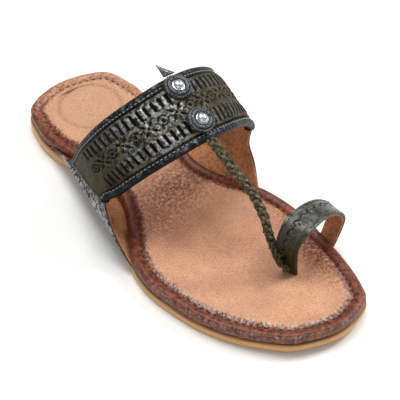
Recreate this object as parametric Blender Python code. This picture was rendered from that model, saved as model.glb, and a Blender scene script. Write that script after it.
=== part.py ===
"""Right-foot leather sandal with an instep strap, a plaited strip and a big-toe loop.

The sandal stands on its sole. +Z is up, +Y points to the toe and +X to the outer
(lateral) side of the foot. The origin is the middle of the heel, on the floor.
All sizes are in metres.
"""
import math
from collections import namedtuple

import bmesh
import bpy
from mathutils import Matrix, Vector

# Sole: plan sizes
LENGTH = 0.2515
HEEL_CENTRE = 0.0305
BALL_WIDTH = 0.101
HEEL_WIDTH = 0.069
WAIST_WIDTH = 0.053
TOE_WIDTH = 0.065
OUTSOLE_LIP = 0.0006
BOTTOM_ROUND = 0.0012
TOP_ROUND = 0.0009

# Sole: heights
OUTSOLE_AT_HEEL = 0.0080
OUTSOLE_AT_BALL = 0.0056
INSOLE_AT_HEEL = 0.0070
INSOLE_AT_BALL = 0.0060
ARCH_RISE = 0.0024
TOE_SPRING = 0.0030
FOOTBED_DISH = 0.0012
CLEARANCE = 0.0003

# Sole: where its heights change, as shares of LENGTH from the heel end
THINNING = (0.22, 0.62)
ARCH_START = (0.29, 0.37)
ARCH_END = (0.44, 0.55)
TOE_SPRING_START = 0.75

# Seam between insole and outsole, where the strap ends are tucked in
SEAM_DEPTH = 0.0045
SEAM_MOUTH = 0.0010
SEAM_TUCK = 0.0034
SKIVED_WALL = 0.0013

# Straps
STRAP_WALL = 0.0022
STRAP_SPREAD = 0.100
INSTEP_HEIGHT = 0.0875
STRAP_BOW = 0.0020
LOOP_WALL = 0.0022
LOOP_HEIGHT = 0.0422
SLOT_DEPTH = 0.0036
FOOT_RISE = 0.0014
BRAID_WIDTH = 0.0068
BRAID_THICKNESS = 0.0034
BRAID_PITCH = 0.0062
BRAID_RELIEF = 0.0009

# Shapes of the straps as shares: height of the point that the strap bows away from,
# ribs over which a skived end reaches full thickness, and the plait's edges
BOW_CENTRE = 0.4
SKIVED_RIBS = (0.8, 2.0)
PLAIT_EDGE_WAVE = 0.06
PLAIT_EDGE_THINNING = 0.35
PLAIT_EDGE_RELIEF = 0.45

# Slit panel and bindings laid on the instep strap
REAR_BINDING = 0.0046
FRONT_BINDING = 0.0034
BINDING_RETURN = 0.0040
BINDING_LEATHER = 0.0010
PANEL_LEATHER = 0.0012
SLIT_LENGTH = 0.0078
SLIT_MARGIN = 0.0018
SLIT_WIDTH = 0.0014
SLIT_PITCH = 0.0044
PETAL_LENGTH = 0.0030
PLAIN_END = 0.0190
PANEL_GAP = 0.0006
PANEL_SEAT = 0.0004
MOTIF_EVERY = 4

# Rosettes, studs and horn
ROSETTE_RADIUS = 0.0084
ROSETTE_THICKNESS = 0.0021
RING_RADIUS = 0.0060
RING_THICKNESS = 0.0010
STUD_RADIUS = 0.0031
STUD_HEIGHT = 0.0022
COLLAR_WIDTH = 0.0005
COLLAR_THICKNESS = 0.0004
ROSETTE_TEETH = 16
TOOTH_DEPTH = 0.0006
ROSETTE_RIB = 7.1
REAR_ROSETTE_BACK = 0.0082
FRONT_ROSETTE_BACK = 0.0310
HORN_GAP = 0.0004
HORN_LENGTH = 0.0085
HORN_WIDTH = 0.0082
HORN_THICKNESS = 0.0022
HORN_LEAN = 0.0030
HORN_POINT = 0.06
HORN_TIP_THICKNESS = 0.30

# Rosette's edge and ring as steps of the turned profile
RIM_STEP = 0.0004
RIM_BEVEL = 0.0012
RING_STEP = 0.0006
RING_INNER = 0.0012

# Mesh density: counts of stations, columns and steps, and the smallest sharp angle
OUTLINE_STATIONS = 29
FOOTBED_COLUMNS = 4
FOLD_STEPS = 5
WING_STEPS = 3
STRAP_COLUMNS = 6
LOOP_STEPS = 21
LOOP_COLUMNS = 4
PLAIN_END_STEPS = 5
PLAIT_STEPS = 4
OUTLINE_STEPS = 12
MEASURE_STEPS = 400
DOME_STEPS = 4
HORN_STEPS = 6
HORN_SIDES = 8
TANGENT_STEP = 0.02
SHARP_ANGLE = 35

# Outline of the sole. along is a share of LENGTH from the heel end; lateral and
# medial are shares of half the width named in the second column.
Outline = namedtuple("Outline", "along width lateral medial")
OUTLINE = (
    Outline(0.030, "heel", 0.77, 0.73),
    Outline(0.100, "heel", 0.97, 0.96),
    Outline(0.160, "heel", 1.00, 1.00),
    Outline(0.250, "heel", 0.87, 0.94),
    Outline(0.330, "waist", 0.99, 1.08),
    Outline(0.400, "waist", 1.01, 0.99),
    Outline(0.460, "waist", 1.21, 1.12),
    Outline(0.520, "ball", 0.81, 0.76),
    Outline(0.580, "ball", 0.955, 0.91),
    Outline(0.650, "ball", 1.00, 0.99),
    Outline(0.720, "ball", 0.95, 1.00),
    Outline(0.800, "ball", 0.84, 0.975),
    Outline(0.870, "toe", 1.03, 1.44),
    Outline(0.930, "toe", 0.67, 1.32),
    Outline(0.973, "toe", 0.28, 1.12),
)
HEEL_END_SHIFT = 0.06
TOE_END_SHIFT = -0.46

# Edge of the insole, from its underside round the rolled rim to the footbed.
# inset is in metres inside the outline, height a share of the insole's thickness.
RimPoint = namedtuple("RimPoint", "inset height")
RIM = (
    RimPoint(0.0002, 0.42),
    RimPoint(0.0000, 0.62),
    RimPoint(0.0009, 0.86),
    RimPoint(0.0027, 1.00),
    RimPoint(0.0047, 0.97),
    RimPoint(0.0066, 0.80),
    RimPoint(0.0082, 0.93),
    RimPoint(0.0110, 0.95),
)

# Instep strap, one row per rib from the lateral side over the foot to the medial
# side. along: share of LENGTH; out: share of half STRAP_SPREAD, lateral positive;
# up: share of INSTEP_HEIGHT above the floor. bow: how far the rib's middle stands
# out from a straight line, as a share of STRAP_BOW.
Rib = namedtuple("Rib", "rear_along rear_out rear_up front_along front_out front_up bow", defaults=(0.0,))
STRAP_RIBS = (
    Rib(0.209, 0.71, 0.150, 0.515, 1.00, 0.206),
    Rib(0.260, 0.69, 0.210, 0.467, 0.95, 0.394, 0.30),
    Rib(0.309, 0.71, 0.466, 0.495, 0.82, 0.514, 0.55),
    Rib(0.361, 0.60, 0.725, 0.525, 0.61, 0.645, 0.70),
    Rib(0.402, 0.30, 0.917, 0.554, 0.28, 0.770, 0.70),
    Rib(0.413, -0.10, 0.988, 0.564, -0.10, 0.822, 0.70),
    Rib(0.394, -0.535, 0.913, 0.548, -0.48, 0.755, 0.80),
    Rib(0.361, -0.905, 0.732, 0.521, -0.78, 0.645, 1.00),
    Rib(0.319, -1.00, 0.488, 0.498, -0.98, 0.535, 0.80),
    Rib(0.278, -0.80, 0.225, 0.486, -1.06, 0.440, 0.40),
    Rib(0.250, -0.775, 0.185, 0.490, -1.01, 0.320),
    Rib(0.222, -0.755, 0.150, 0.517, -0.99, 0.200),
)
# Where each wing enters the seam, as shares of LENGTH
LATERAL_WING = (0.165, 0.578)
MEDIAL_WING = (0.178, 0.558)
# Ribs between which the panel and the bindings lie
FIRST_FOLD = 3
LAST_FOLD = 11

# Toe loop, one row per rib from the slot between the toes over the big toe to the
# medial edge. out is a share of half BALL_WIDTH, up a share of LOOP_HEIGHT.
LOOP_RIBS = (
    Rib(0.785, -0.265, 0.520, 0.824, -0.360, 0.500),
    Rib(0.778, -0.250, 0.790, 0.826, -0.375, 0.780),
    Rib(0.763, -0.430, 0.985, 0.823, -0.550, 0.950),
    Rib(0.744, -0.740, 0.930, 0.806, -0.830, 0.930),
    Rib(0.731, -1.040, 0.740, 0.794, -1.070, 0.770),
    Rib(0.740, -1.180, 0.520, 0.795, -1.165, 0.550),
)
LOOP_SLOT = Rib(0.794, -0.285, 0.0, 0.825, -0.366, 0.0)
LOOP_FOOT = (0.750, 0.800)

# Path of the plaited strip from under the strap's front edge to the loop's foot.
# along: share of LENGTH; out: share of half BALL_WIDTH; up: share of INSTEP_HEIGHT.
PathPoint = namedtuple("PathPoint", "along out up")
BRAID_PATH = (
    PathPoint(0.553, -0.125, 0.815),
    PathPoint(0.583, -0.141, 0.805),
    PathPoint(0.642, -0.172, 0.717),
    PathPoint(0.696, -0.216, 0.625),
    PathPoint(0.735, -0.228, 0.520),
    PathPoint(0.763, -0.216, 0.399),
    PathPoint(0.789, -0.228, 0.270),
    PathPoint(0.800, -0.258, 0.205),
    PathPoint(0.810, -0.318, 0.168),
)

# Colours (linear RGB), roughness and metallic value of each material
Finish = namedtuple("Finish", "colour roughness metallic")
FINISHES = {
    "sole_leather": Finish((0.58, 0.29, 0.12), 0.45, 0.0),
    "footbed_leather": Finish((0.61, 0.33, 0.19), 0.55, 0.0),
    "strap_leather": Finish((0.09, 0.08, 0.05), 0.40, 0.0),
    "edge_leather": Finish((0.03, 0.035, 0.04), 0.35, 0.0),
    "stud_metal": Finish((0.75, 0.76, 0.78), 0.20, 1.0),
}


def clear_scene():
    """Remove every object that the file opened with."""
    for obj in list(bpy.data.objects):
        bpy.data.objects.remove(obj, do_unlink=True)


def material(name):
    """Principled material of one finish, made once."""
    if name in bpy.data.materials:
        return bpy.data.materials[name]
    finish = FINISHES[name]
    made = bpy.data.materials.new(name)
    made.use_nodes = True
    shader = made.node_tree.nodes["Principled BSDF"]
    shader.inputs["Base Color"].default_value = (*finish.colour, 1.0)
    shader.inputs["Roughness"].default_value = finish.roughness
    shader.inputs["Metallic"].default_value = finish.metallic
    return made


def add_object(name, vertices, faces, finish):
    """Mesh object of one closed body with its faces turned outwards."""
    mesh = bpy.data.meshes.new(name)
    mesh.from_pydata([tuple(v) for v in vertices], [], faces)
    work = bmesh.new()
    work.from_mesh(mesh)
    bmesh.ops.recalc_face_normals(work, faces=work.faces)
    work.to_mesh(mesh)
    work.free()
    mesh.shade_smooth()
    mesh.set_sharp_from_angle(angle=math.radians(SHARP_ANGLE))
    mesh.materials.append(material(finish))
    obj = bpy.data.objects.new(name, mesh)
    bpy.context.scene.collection.objects.link(obj)
    return obj


def make_guide(obj):
    """Mark an object as a cutter or an ingredient that is not a piece itself."""
    obj.hide_render = True
    obj.display_type = "WIRE"
    return obj


def combine(obj, other, operation):
    """Boolean with a guide object."""
    cut = obj.modifiers.new(other.name, "BOOLEAN")
    cut.operation = operation
    cut.object = make_guide(other)
    cut.solver = "EXACT"


def catmull(points, place):
    """Point at a place (0 to len - 1) on the smooth curve through the points."""
    last = len(points) - 1
    index = min(max(int(math.floor(place)), 0), last - 1)
    t = place - index
    p1, p2 = points[index], points[index + 1]
    p0 = points[index - 1] if index > 0 else 2 * p1 - p2
    p3 = points[index + 2] if index + 2 <= last else 2 * p2 - p1
    return 0.5 * (
        2 * p1
        + (p2 - p0) * t
        + (2 * p0 - 5 * p1 + 4 * p2 - p3) * t * t
        + (3 * p1 - 3 * p2 + p3 - p0) * t * t * t
    )


def smooth_step(value, low, high):
    """0 below low, 1 above high, and a smooth ramp between them."""
    t = min(max((value - low) / (high - low), 0.0), 1.0)
    return t * t * (3 - 2 * t)


def along_to_y(along):
    """World Y of a share of the length."""
    return along * LENGTH - HEEL_CENTRE


def y_to_along(y):
    """Share of the length at a world Y."""
    return (y + HEEL_CENTRE) / LENGTH


def outline_side(side):
    """Dense plan curve of one side (+1 lateral, -1 medial) from heel end to toe end."""
    widths = {"heel": HEEL_WIDTH, "waist": WAIST_WIDTH, "ball": BALL_WIDTH, "toe": TOE_WIDTH}
    sides = {1: [], -1: []}
    for row in OUTLINE:
        half = widths[row.width] / 2
        y = along_to_y(row.along)
        sides[1].append(Vector((row.lateral * half, y)))
        sides[-1].append(Vector((-row.medial * half, y)))
    heel = Vector((HEEL_END_SHIFT * HEEL_WIDTH / 2, along_to_y(0.0)))
    toe = Vector((TOE_END_SHIFT * TOE_WIDTH / 2, along_to_y(1.0)))
    other = sides[-side]
    points = [other[1], other[0], heel, *sides[side], toe, other[-1], other[-2]]
    first, last = 2, len(points) - 3
    count = (last - first) * OUTLINE_STEPS
    return [catmull(points, first + i / OUTLINE_STEPS) for i in range(count + 1)]


def offset_curve(curve, side, inset):
    """The plan curve moved inwards by inset, measured square to it."""
    moved = []
    for i, point in enumerate(curve):
        before = curve[max(i - 1, 0)]
        after = curve[min(i + 1, len(curve) - 1)]
        if i == 0:
            tangent = Vector((side, 0.0))
        elif i == len(curve) - 1:
            tangent = Vector((-side, 0.0))
        else:
            tangent = (after - before).normalized()
        inward = Vector((-side * tangent.y, side * tangent.x))
        moved.append(point + inward * inset)
    return moved


OUTLINE_CURVES = {side: outline_side(side) for side in (1, -1)}


def outline_x(side, inset, y):
    """X of one side of the outline at a world Y."""
    curve = offset_curve(OUTLINE_CURVES[side], side, inset)
    for start, end in zip(curve, curve[1:]):
        if start.y <= y <= end.y and end.y > start.y:
            t = (y - start.y) / (end.y - start.y)
            return start.x + t * (end.x - start.x)
    return curve[0].x if y < curve[0].y else curve[-1].x


def outline_ring(inset):
    """Ring of plan points whose two sides lie at the same stations.

    It starts at the heel end, runs up the lateral side to the toe end and comes
    back down the medial side.
    """
    curves = {s: offset_curve(OUTLINE_CURVES[s], s, inset) for s in (1, -1)}
    low, high = curves[1][0], curves[1][-1]
    found = {1: [], -1: []}
    for k in range(1, OUTLINE_STATIONS):
        turn = math.pi * k / OUTLINE_STATIONS
        y = low.y + (high.y - low.y) * (1 - math.cos(turn)) / 2
        for side in (1, -1):
            curve = curves[side]
            x = curve[-1].x
            for start, end in zip(curve, curve[1:]):
                if start.y <= y <= end.y and end.y > start.y:
                    t = (y - start.y) / (end.y - start.y)
                    x = start.x + t * (end.x - start.x)
                    break
            found[side].append(Vector((x, y)))
    return [low, *found[1], high, *reversed(found[-1])]


def toe_rise(y):
    """Lift of the whole sole in front of the ball."""
    t = max(0.0, (y_to_along(y) - TOE_SPRING_START) / (1 - TOE_SPRING_START))
    return TOE_SPRING * t * t


def arch_lift(y):
    """Hollow of the outsole's underside between heel and ball."""
    share = y_to_along(y)
    return ARCH_RISE * smooth_step(share, *ARCH_START) * (1 - smooth_step(share, *ARCH_END))


def outsole_thickness(y):
    """Thickness of the outsole, from heel to ball."""
    t = smooth_step(y_to_along(y), *THINNING)
    return OUTSOLE_AT_HEEL + (OUTSOLE_AT_BALL - OUTSOLE_AT_HEEL) * t


def outsole_top(y):
    """Height of the outsole's upper face above the floor."""
    return outsole_thickness(y) + toe_rise(y)


def insole_thickness(y):
    """Thickness of the insole at its rim."""
    t = smooth_step(y_to_along(y), *THINNING)
    return INSOLE_AT_HEEL + (INSOLE_AT_BALL - INSOLE_AT_HEEL) * t


def seam_height():
    """Clear height of the seam that takes a skived strap end."""
    return SKIVED_WALL + 2 * CLEARANCE


def insole_bottom(y):
    """Height of the insole's underside above the floor."""
    return outsole_top(y) + CLEARANCE


def footbed_height(y):
    """Height of the footbed beside the stitch groove."""
    return insole_bottom(y) + RIM[-1].height * insole_thickness(y)


def ring_body(name, rings, cap_low, cap_high, finish):
    """Closed body through rings of equal length, with ribbed end caps.

    cap_low and cap_high give the height of a cap at (x share across, y) or None for
    a plain rib from side to side.
    """
    vertices = []
    for ring in rings:
        vertices.extend(ring)
    size = len(rings[0])
    faces = []
    for level in range(len(rings) - 1):
        for i in range(size):
            j = (i + 1) % size
            low, high = level * size, (level + 1) * size
            faces.append((low + i, low + j, high + j, high + i))
    for ring_index, cap in ((0, cap_low), (len(rings) - 1, cap_high)):
        faces.extend(rib_cap(vertices, rings[ring_index], ring_index * size, cap))
    return add_object(name, vertices, faces, finish)


def rib_cap(vertices, ring, start, height):
    """Faces across a ring, rib by rib; height lifts the inner points of each rib."""
    half = OUTLINE_STATIONS
    columns = FOOTBED_COLUMNS if height else 1
    ribs = []
    for k in range(1, half):
        lateral, medial = ring[k], ring[-k]
        rib = [start + k]
        for c in range(1, columns):
            across = c / columns
            point = lateral.lerp(medial, across)
            point.z = height(across, point)
            vertices.append(point)
            rib.append(len(vertices) - 1)
        rib.append(start + len(ring) - k)
        ribs.append(rib)
    faces = []
    for near, far in zip(ribs, ribs[1:]):
        for c in range(columns):
            faces.append((near[c], near[c + 1], far[c + 1], far[c]))
    for c in range(columns):
        faces.append((start, ribs[0][c + 1], ribs[0][c]))
        faces.append((start + half, ribs[-1][c], ribs[-1][c + 1]))
    return faces


def raised(ring, height):
    """Plan ring lifted to a height that depends on its station."""
    return [Vector((p.x, p.y, height(p.y))) for p in ring]


def build_outsole():
    """Outsole: flat heel, hollow arch, flat ball and toe spring, with softened edges."""
    eighth = math.cos(math.pi / 4)

    def under(y):
        return toe_rise(y) + arch_lift(y)

    rings = [
        raised(outline_ring(BOTTOM_ROUND - OUTSOLE_LIP), under),
        raised(
            outline_ring(BOTTOM_ROUND * (1 - eighth) - OUTSOLE_LIP),
            lambda y: under(y) + BOTTOM_ROUND * (1 - eighth),
        ),
        raised(outline_ring(-OUTSOLE_LIP), lambda y: under(y) + BOTTOM_ROUND),
        raised(outline_ring(-OUTSOLE_LIP), lambda y: outsole_top(y) - TOP_ROUND),
        raised(outline_ring(TOP_ROUND - OUTSOLE_LIP), outsole_top),
    ]
    return ring_body("outsole", rings, None, None, "sole_leather")


def build_insole():
    """Insole wrapped in leather: rolled rim, stitch groove, dished footbed, slot."""
    tuck = seam_height() - CLEARANCE

    def above(share):
        return lambda y: insole_bottom(y) + share * insole_thickness(y)

    def dish(across, point):
        drop = FOOTBED_DISH * (1 - (2 * across - 1) ** 2)
        return above(RIM[-1].height)(point.y) - drop

    rings = [
        raised(outline_ring(SEAM_DEPTH), insole_bottom),
        raised(outline_ring(SEAM_DEPTH), lambda y: insole_bottom(y) + tuck),
        raised(outline_ring(SEAM_MOUTH), lambda y: insole_bottom(y) + tuck),
    ]
    rings += [raised(outline_ring(row.inset), above(row.height)) for row in RIM]
    insole = ring_body("insole", rings, None, dish, "footbed_leather")
    width = (loop_rib(LOOP_SLOT, "rear") - loop_rib(LOOP_SLOT, "front")).xy.length
    spare = CLEARANCE / width
    slot = shell(
        "toe_slot_cutter",
        slot_surface,
        [0.0, 0.5, 1.0],
        [-spare, 0.5, 1 + spare],
        lambda s: CLEARANCE,
        lambda s: -LOOP_WALL - CLEARANCE,
        "footbed_leather",
    )
    combine(insole, slot, "DIFFERENCE")
    return insole


def rib_point(rib, end, half_spread, height):
    """Rear or front end of a rib in world coordinates."""
    along = getattr(rib, end + "_along")
    out = getattr(rib, end + "_out")
    up = getattr(rib, end + "_up")
    return Vector((out * half_spread, along_to_y(along), up * height))


def strap_rib(rib, end):
    """Point of the instep strap's table."""
    return rib_point(rib, end, STRAP_SPREAD / 2, INSTEP_HEIGHT)


def loop_rib(rib, end):
    """Point of the toe loop's table."""
    return rib_point(rib, end, BALL_WIDTH / 2, LOOP_HEIGHT)


def seam_point(side, along, inset):
    """Point of a strap's lower face in the seam, inset from the sole's outline."""
    y = along_to_y(along)
    return Vector((outline_x(side, inset, y), y, outsole_top(y) + CLEARANCE))


def surface(ribs):
    """Smooth surface function (s along the ribs, w from rear to front).

    Beside the seam the leather stays clear of the outsole's upper face.
    """
    def point(s, w):
        found = catmull([rib(w) for rib in ribs], s)
        found.z = max(found.z, outsole_top(found.y) + CLEARANCE)
        return found
    return point


def seam_rib(side, ends, inset):
    """Rib that follows the sole's outline inside the seam."""
    return lambda w: seam_point(side, ends[0] + (ends[1] - ends[0]) * w, inset)


def rib_line(rib, place):
    """Rib from its rear to its front point, bowed away from the foot."""
    rear, front = place(rib, "rear"), place(rib, "front")
    outward = rear.lerp(front, 0.5) - Vector((0.0, 0.0, BOW_CENTRE * INSTEP_HEIGHT))
    outward.y = 0.0
    bow = outward.normalized() * rib.bow * STRAP_BOW
    return lambda w: rear.lerp(front, w) + bow * 4 * w * (1 - w)


def strap_ribs():
    """Every rib of the instep strap, seam to seam."""
    lateral = [seam_rib(1, LATERAL_WING, inset) for inset in (SEAM_TUCK, -OUTSOLE_LIP)]
    medial = [seam_rib(-1, MEDIAL_WING, inset) for inset in (-OUTSOLE_LIP, SEAM_TUCK)]
    return lateral + [rib_line(rib, strap_rib) for rib in STRAP_RIBS] + medial


def slot_rib(depth):
    """Rib of the toe loop's foot at a depth under the footbed."""
    rear, front = loop_rib(LOOP_SLOT, "rear"), loop_rib(LOOP_SLOT, "front")
    rear.z = front.z = footbed_height((rear.y + front.y) / 2) - depth
    return lambda w: rear + (front - rear) * w


def loop_ribs():
    """Every rib of the toe loop, from its slot to the medial seam."""
    foot = [slot_rib(SLOT_DEPTH), slot_rib(-FOOT_RISE)]
    medial = [seam_rib(-1, LOOP_FOOT, inset) for inset in (-OUTSOLE_LIP, SEAM_TUCK)]
    return foot + [rib_line(rib, loop_rib) for rib in LOOP_RIBS] + medial


STRAP_SURFACE = surface(strap_ribs())
LOOP_SURFACE = surface(loop_ribs())


def slot_surface(s, w):
    """The stretch of the loop's foot that its slot in the insole has to clear."""
    low = slot_rib(SLOT_DEPTH + CLEARANCE)(w)
    high = slot_rib(-2 * FOOT_RISE)(w)
    return low.lerp(high, s)


def normal(place, s, w):
    """Unit normal of a surface function, pointing away from the foot."""
    along = place(s + TANGENT_STEP, w) - place(s - TANGENT_STEP, w)
    across = place(s, w + TANGENT_STEP) - place(s, w - TANGENT_STEP)
    return across.cross(along).normalized()


def shell(name, place, s_lines, w_lines, outer, inner, finish, holes=()):
    """Leather wall between two offsets of a surface, with cells left out as holes.

    w_lines holds numbers, or functions of s. A hole is a cell (row, column).
    """
    rows, columns = len(s_lines), len(w_lines)
    vertices = []
    for offset in (outer, inner):
        for s in s_lines:
            for line in w_lines:
                w = line(s) if callable(line) else line
                vertices.append(place(s, w) + normal(place, s, w) * offset(s))
    size = rows * columns
    holes = set(holes)
    faces = []

    def corner(layer, row, column):
        return layer * size + row * columns + column

    def solid(row, column):
        inside = 0 <= row < rows - 1 and 0 <= column < columns - 1
        return inside and (row, column) not in holes

    for row in range(rows - 1):
        for column in range(columns - 1):
            if not solid(row, column):
                continue
            ring = [(row, column), (row, column + 1), (row + 1, column + 1), (row + 1, column)]
            faces.append([corner(0, *c) for c in ring])
            faces.append([corner(1, *c) for c in reversed(ring)])
            sides = ((row, column - 1), (row + 1, column), (row, column + 1), (row - 1, column))
            edges = ((0, 3), (3, 2), (2, 1), (1, 0))
            for neighbour, (a, b) in zip(sides, edges):
                if not solid(*neighbour):
                    low, high = ring[a], ring[b]
                    faces.append([corner(0, *low), corner(0, *high), corner(1, *high), corner(1, *low)])
    used = sorted({v for face in faces for v in face})
    place_of = {old: new for new, old in enumerate(used)}
    faces = [[place_of[v] for v in face] for face in faces]
    return add_object(name, [vertices[v] for v in used], faces, finish)


def spread(low, high, count):
    """count + 1 even steps from low to high."""
    return [low + (high - low) * i / count for i in range(count + 1)]


def strap_lines(low, high):
    """Places of the lines across the strap, closer together between the folds."""
    lines = []
    for rib in range(low, high):
        steps = FOLD_STEPS if FIRST_FOLD <= rib < LAST_FOLD else WING_STEPS
        lines += [rib + i / steps for i in range(steps)]
    return lines + [high]


def skived(wall, rib_count, free_start):
    """Wall thickness along s: thin where an end lies in the seam."""
    last = rib_count - 1

    def thickness(s):
        start = 1.0 if free_start else smooth_step(s, *SKIVED_RIBS)
        end = smooth_step(last - s, *SKIVED_RIBS)
        return -(SKIVED_WALL + (wall - SKIVED_WALL) * min(start, end))
    return thickness


def build_upper():
    """Instep strap with its two wings, joined to the plaited strip and the toe loop."""
    rib_count = len(strap_ribs())
    upper = shell(
        "upper",
        STRAP_SURFACE,
        strap_lines(0, rib_count - 1),
        spread(0, 1, STRAP_COLUMNS),
        lambda s: 0.0,
        skived(STRAP_WALL, rib_count, False),
        "strap_leather",
    )
    loop_count = len(loop_ribs())
    loop = shell(
        "toe_loop_part",
        LOOP_SURFACE,
        spread(0, loop_count - 1, LOOP_STEPS),
        spread(0, 1, LOOP_COLUMNS),
        lambda s: 0.0,
        skived(LOOP_WALL, loop_count, True),
        "strap_leather",
    )
    combine(upper, build_braid(), "UNION")
    combine(upper, loop, "UNION")
    return upper


def braid_point(place):
    """Point of the plaited strip's middle line."""
    points = [
        Vector((row.out * BALL_WIDTH / 2, along_to_y(row.along), row.up * INSTEP_HEIGHT))
        for row in BRAID_PATH
    ]
    return catmull(points, place)


def even_places(point, last, step):
    """Places along a curve that lie about step apart, first and last included."""
    places = spread(0, last, MEASURE_STEPS)
    travelled = [0.0]
    for a, b in zip(places, places[1:]):
        travelled.append(travelled[-1] + (point(b) - point(a)).length)
    count = max(2, round(travelled[-1] / step))
    found = []
    index = 0
    for k in range(count + 1):
        target = travelled[-1] * k / count
        while index < MEASURE_STEPS - 1 and travelled[index + 1] < target:
            index += 1
        run = travelled[index + 1] - travelled[index]
        t = (target - travelled[index]) / run
        found.append(places[index] + (places[index + 1] - places[index]) * t)
    return found


def braid_frames(step):
    """Middle points of the plaited strip with its sideways and upward directions."""
    last = len(BRAID_PATH) - 1
    frames = []
    for place in even_places(braid_point, last, step):
        ahead, behind = min(place + TANGENT_STEP, last), max(place - TANGENT_STEP, 0)
        tangent = braid_point(ahead) - braid_point(behind)
        tangent.normalize()
        side = tangent.cross(Vector((0, 0, 1))).normalized()
        frames.append((braid_point(place), side, side.cross(tangent).normalized()))
    return frames


def tube(name, rings, finish):
    """Closed body through rings of points, with a flat face at each end."""
    size = len(rings[0])
    vertices = [point for ring in rings for point in ring]
    faces = []
    for k in range(len(rings) - 1):
        for i in range(size):
            j = (i + 1) % size
            faces.append((k * size + i, k * size + j, (k + 1) * size + j, (k + 1) * size + i))
    last = (len(rings) - 1) * size
    faces.append(list(reversed(range(size))))
    faces.append([last + i for i in range(size)])
    return add_object(name, vertices, faces, finish)


def build_braid():
    """Flat plait: one wall whose crossing strips stand proud in a chevron."""
    across_shares = (-1.0, -0.5, 0.0, 0.5, 1.0)
    flat = BRAID_THICKNESS / 2 - BRAID_RELIEF
    rings = []
    for k, (centre, side, up) in enumerate(braid_frames(BRAID_PITCH / PLAIT_STEPS)):
        turn = 2 * math.pi * k / PLAIT_STEPS
        half_width = (1 + PLAIT_EDGE_WAVE * math.cos(turn)) * BRAID_WIDTH / 2
        ring = []
        for face in (1, -1):
            for share in across_shares if face > 0 else reversed(across_shares):
                wave = 0.5 + 0.5 * math.cos(turn - math.pi * face * abs(share))
                lift = BRAID_RELIEF * wave * (1 - (1 - PLAIT_EDGE_RELIEF) * abs(share))
                height = flat * (1 - PLAIT_EDGE_THINNING * share * share) + lift
                ring.append(centre + side * share * half_width + up * face * height)
        rings.append(ring)
    return tube("braid_part", rings, "strap_leather")


def braid_sleeve(name):
    """Envelope of the plaited strip with clearance all round."""
    half_width = (1 + PLAIT_EDGE_WAVE) * BRAID_WIDTH / 2 + CLEARANCE
    half_height = BRAID_THICKNESS / 2 + CLEARANCE
    corners = ((1, 1), (-1, 1), (-1, -1), (1, -1))
    rings = []
    frames = braid_frames(BRAID_PITCH)
    for k, (centre, side, up) in enumerate(frames):
        past_end = {0: -CLEARANCE, len(frames) - 1: CLEARANCE}.get(k, 0.0)
        middle = centre + up.cross(side) * past_end
        rings.append([middle + side * a * half_width + up * b * half_height for a, b in corners])
    return tube(name, rings, "strap_leather")


def strap_width(s):
    """Distance from rear to front edge of the instep strap."""
    return (STRAP_SURFACE(s, 1) - STRAP_SURFACE(s, 0)).length


def from_rear(distance):
    """Line on the strap at a distance from its rear edge."""
    return lambda s: distance / strap_width(s)


def from_front(distance):
    """Line on the strap at a distance from its front edge."""
    return lambda s: 1 - distance / strap_width(s)


def from_middle(distance):
    """Line on the strap at a distance in front of its middle line."""
    return lambda s: 0.5 + distance / strap_width(s)


def middle_places(low, high):
    """s of given distances along the strap's middle line, and its whole length."""
    fine = spread(low, high, MEASURE_STEPS)
    travelled = [0.0]
    for a, b in zip(fine, fine[1:]):
        travelled.append(travelled[-1] + (STRAP_SURFACE(b, 0.5) - STRAP_SURFACE(a, 0.5)).length)

    def place(distance):
        for i in range(len(fine) - 1):
            if travelled[i + 1] >= distance:
                t = (distance - travelled[i]) / (travelled[i + 1] - travelled[i])
                return fine[i] + (fine[i + 1] - fine[i]) * t
        return fine[-1]
    return place, travelled[-1]


def build_slit_panel():
    """Cut leather laid on the strap: two rows of slits and a row of four-petal cuts."""
    place, length = middle_places(FIRST_FOLD, LAST_FOLD)
    count = int((length - 2 * PLAIN_END) / SLIT_PITCH)
    start = (length - count * SLIT_PITCH - SLIT_WIDTH) / 2
    lead = PLAIN_END_STEPS
    s_lines = [place(start * i / lead) for i in range(lead)]
    for k in range(count + 1):
        s_lines.append(place(start + k * SLIT_PITCH))
        s_lines.append(place(start + k * SLIT_PITCH + SLIT_WIDTH))
    tail = start + count * SLIT_PITCH + SLIT_WIDTH
    s_lines += [place(tail + (length - tail) * i / lead) for i in range(1, lead + 1)]
    rear_margin = REAR_BINDING + PANEL_GAP
    front_margin = FRONT_BINDING + PANEL_GAP
    w_lines = [
        from_rear(rear_margin),
        from_rear(rear_margin + SLIT_MARGIN),
        from_rear(rear_margin + SLIT_MARGIN + SLIT_LENGTH),
        from_middle(-PETAL_LENGTH - SLIT_WIDTH / 2),
        from_middle(-SLIT_WIDTH / 2),
        from_middle(SLIT_WIDTH / 2),
        from_middle(PETAL_LENGTH + SLIT_WIDTH / 2),
        from_front(front_margin + SLIT_MARGIN + SLIT_LENGTH),
        from_front(front_margin + SLIT_MARGIN),
        from_front(front_margin),
    ]
    holes = []
    for k in range(count + 1):
        row = lead + 2 * k
        holes += [(row, 1), (row, 7)]
        if k % MOTIF_EVERY == MOTIF_EVERY // 2 and k < count:
            holes += [(row - 1, 3), (row - 1, 5), (row + 1, 3), (row + 1, 5)]
        elif k % MOTIF_EVERY == 0:
            holes.append((row, 4))
    low = PANEL_SEAT
    high = PANEL_SEAT + PANEL_LEATHER
    return shell(
        "slit_panel",
        STRAP_SURFACE,
        s_lines,
        w_lines,
        lambda s: high,
        lambda s: low,
        "strap_leather",
        holes,
    )


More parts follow.
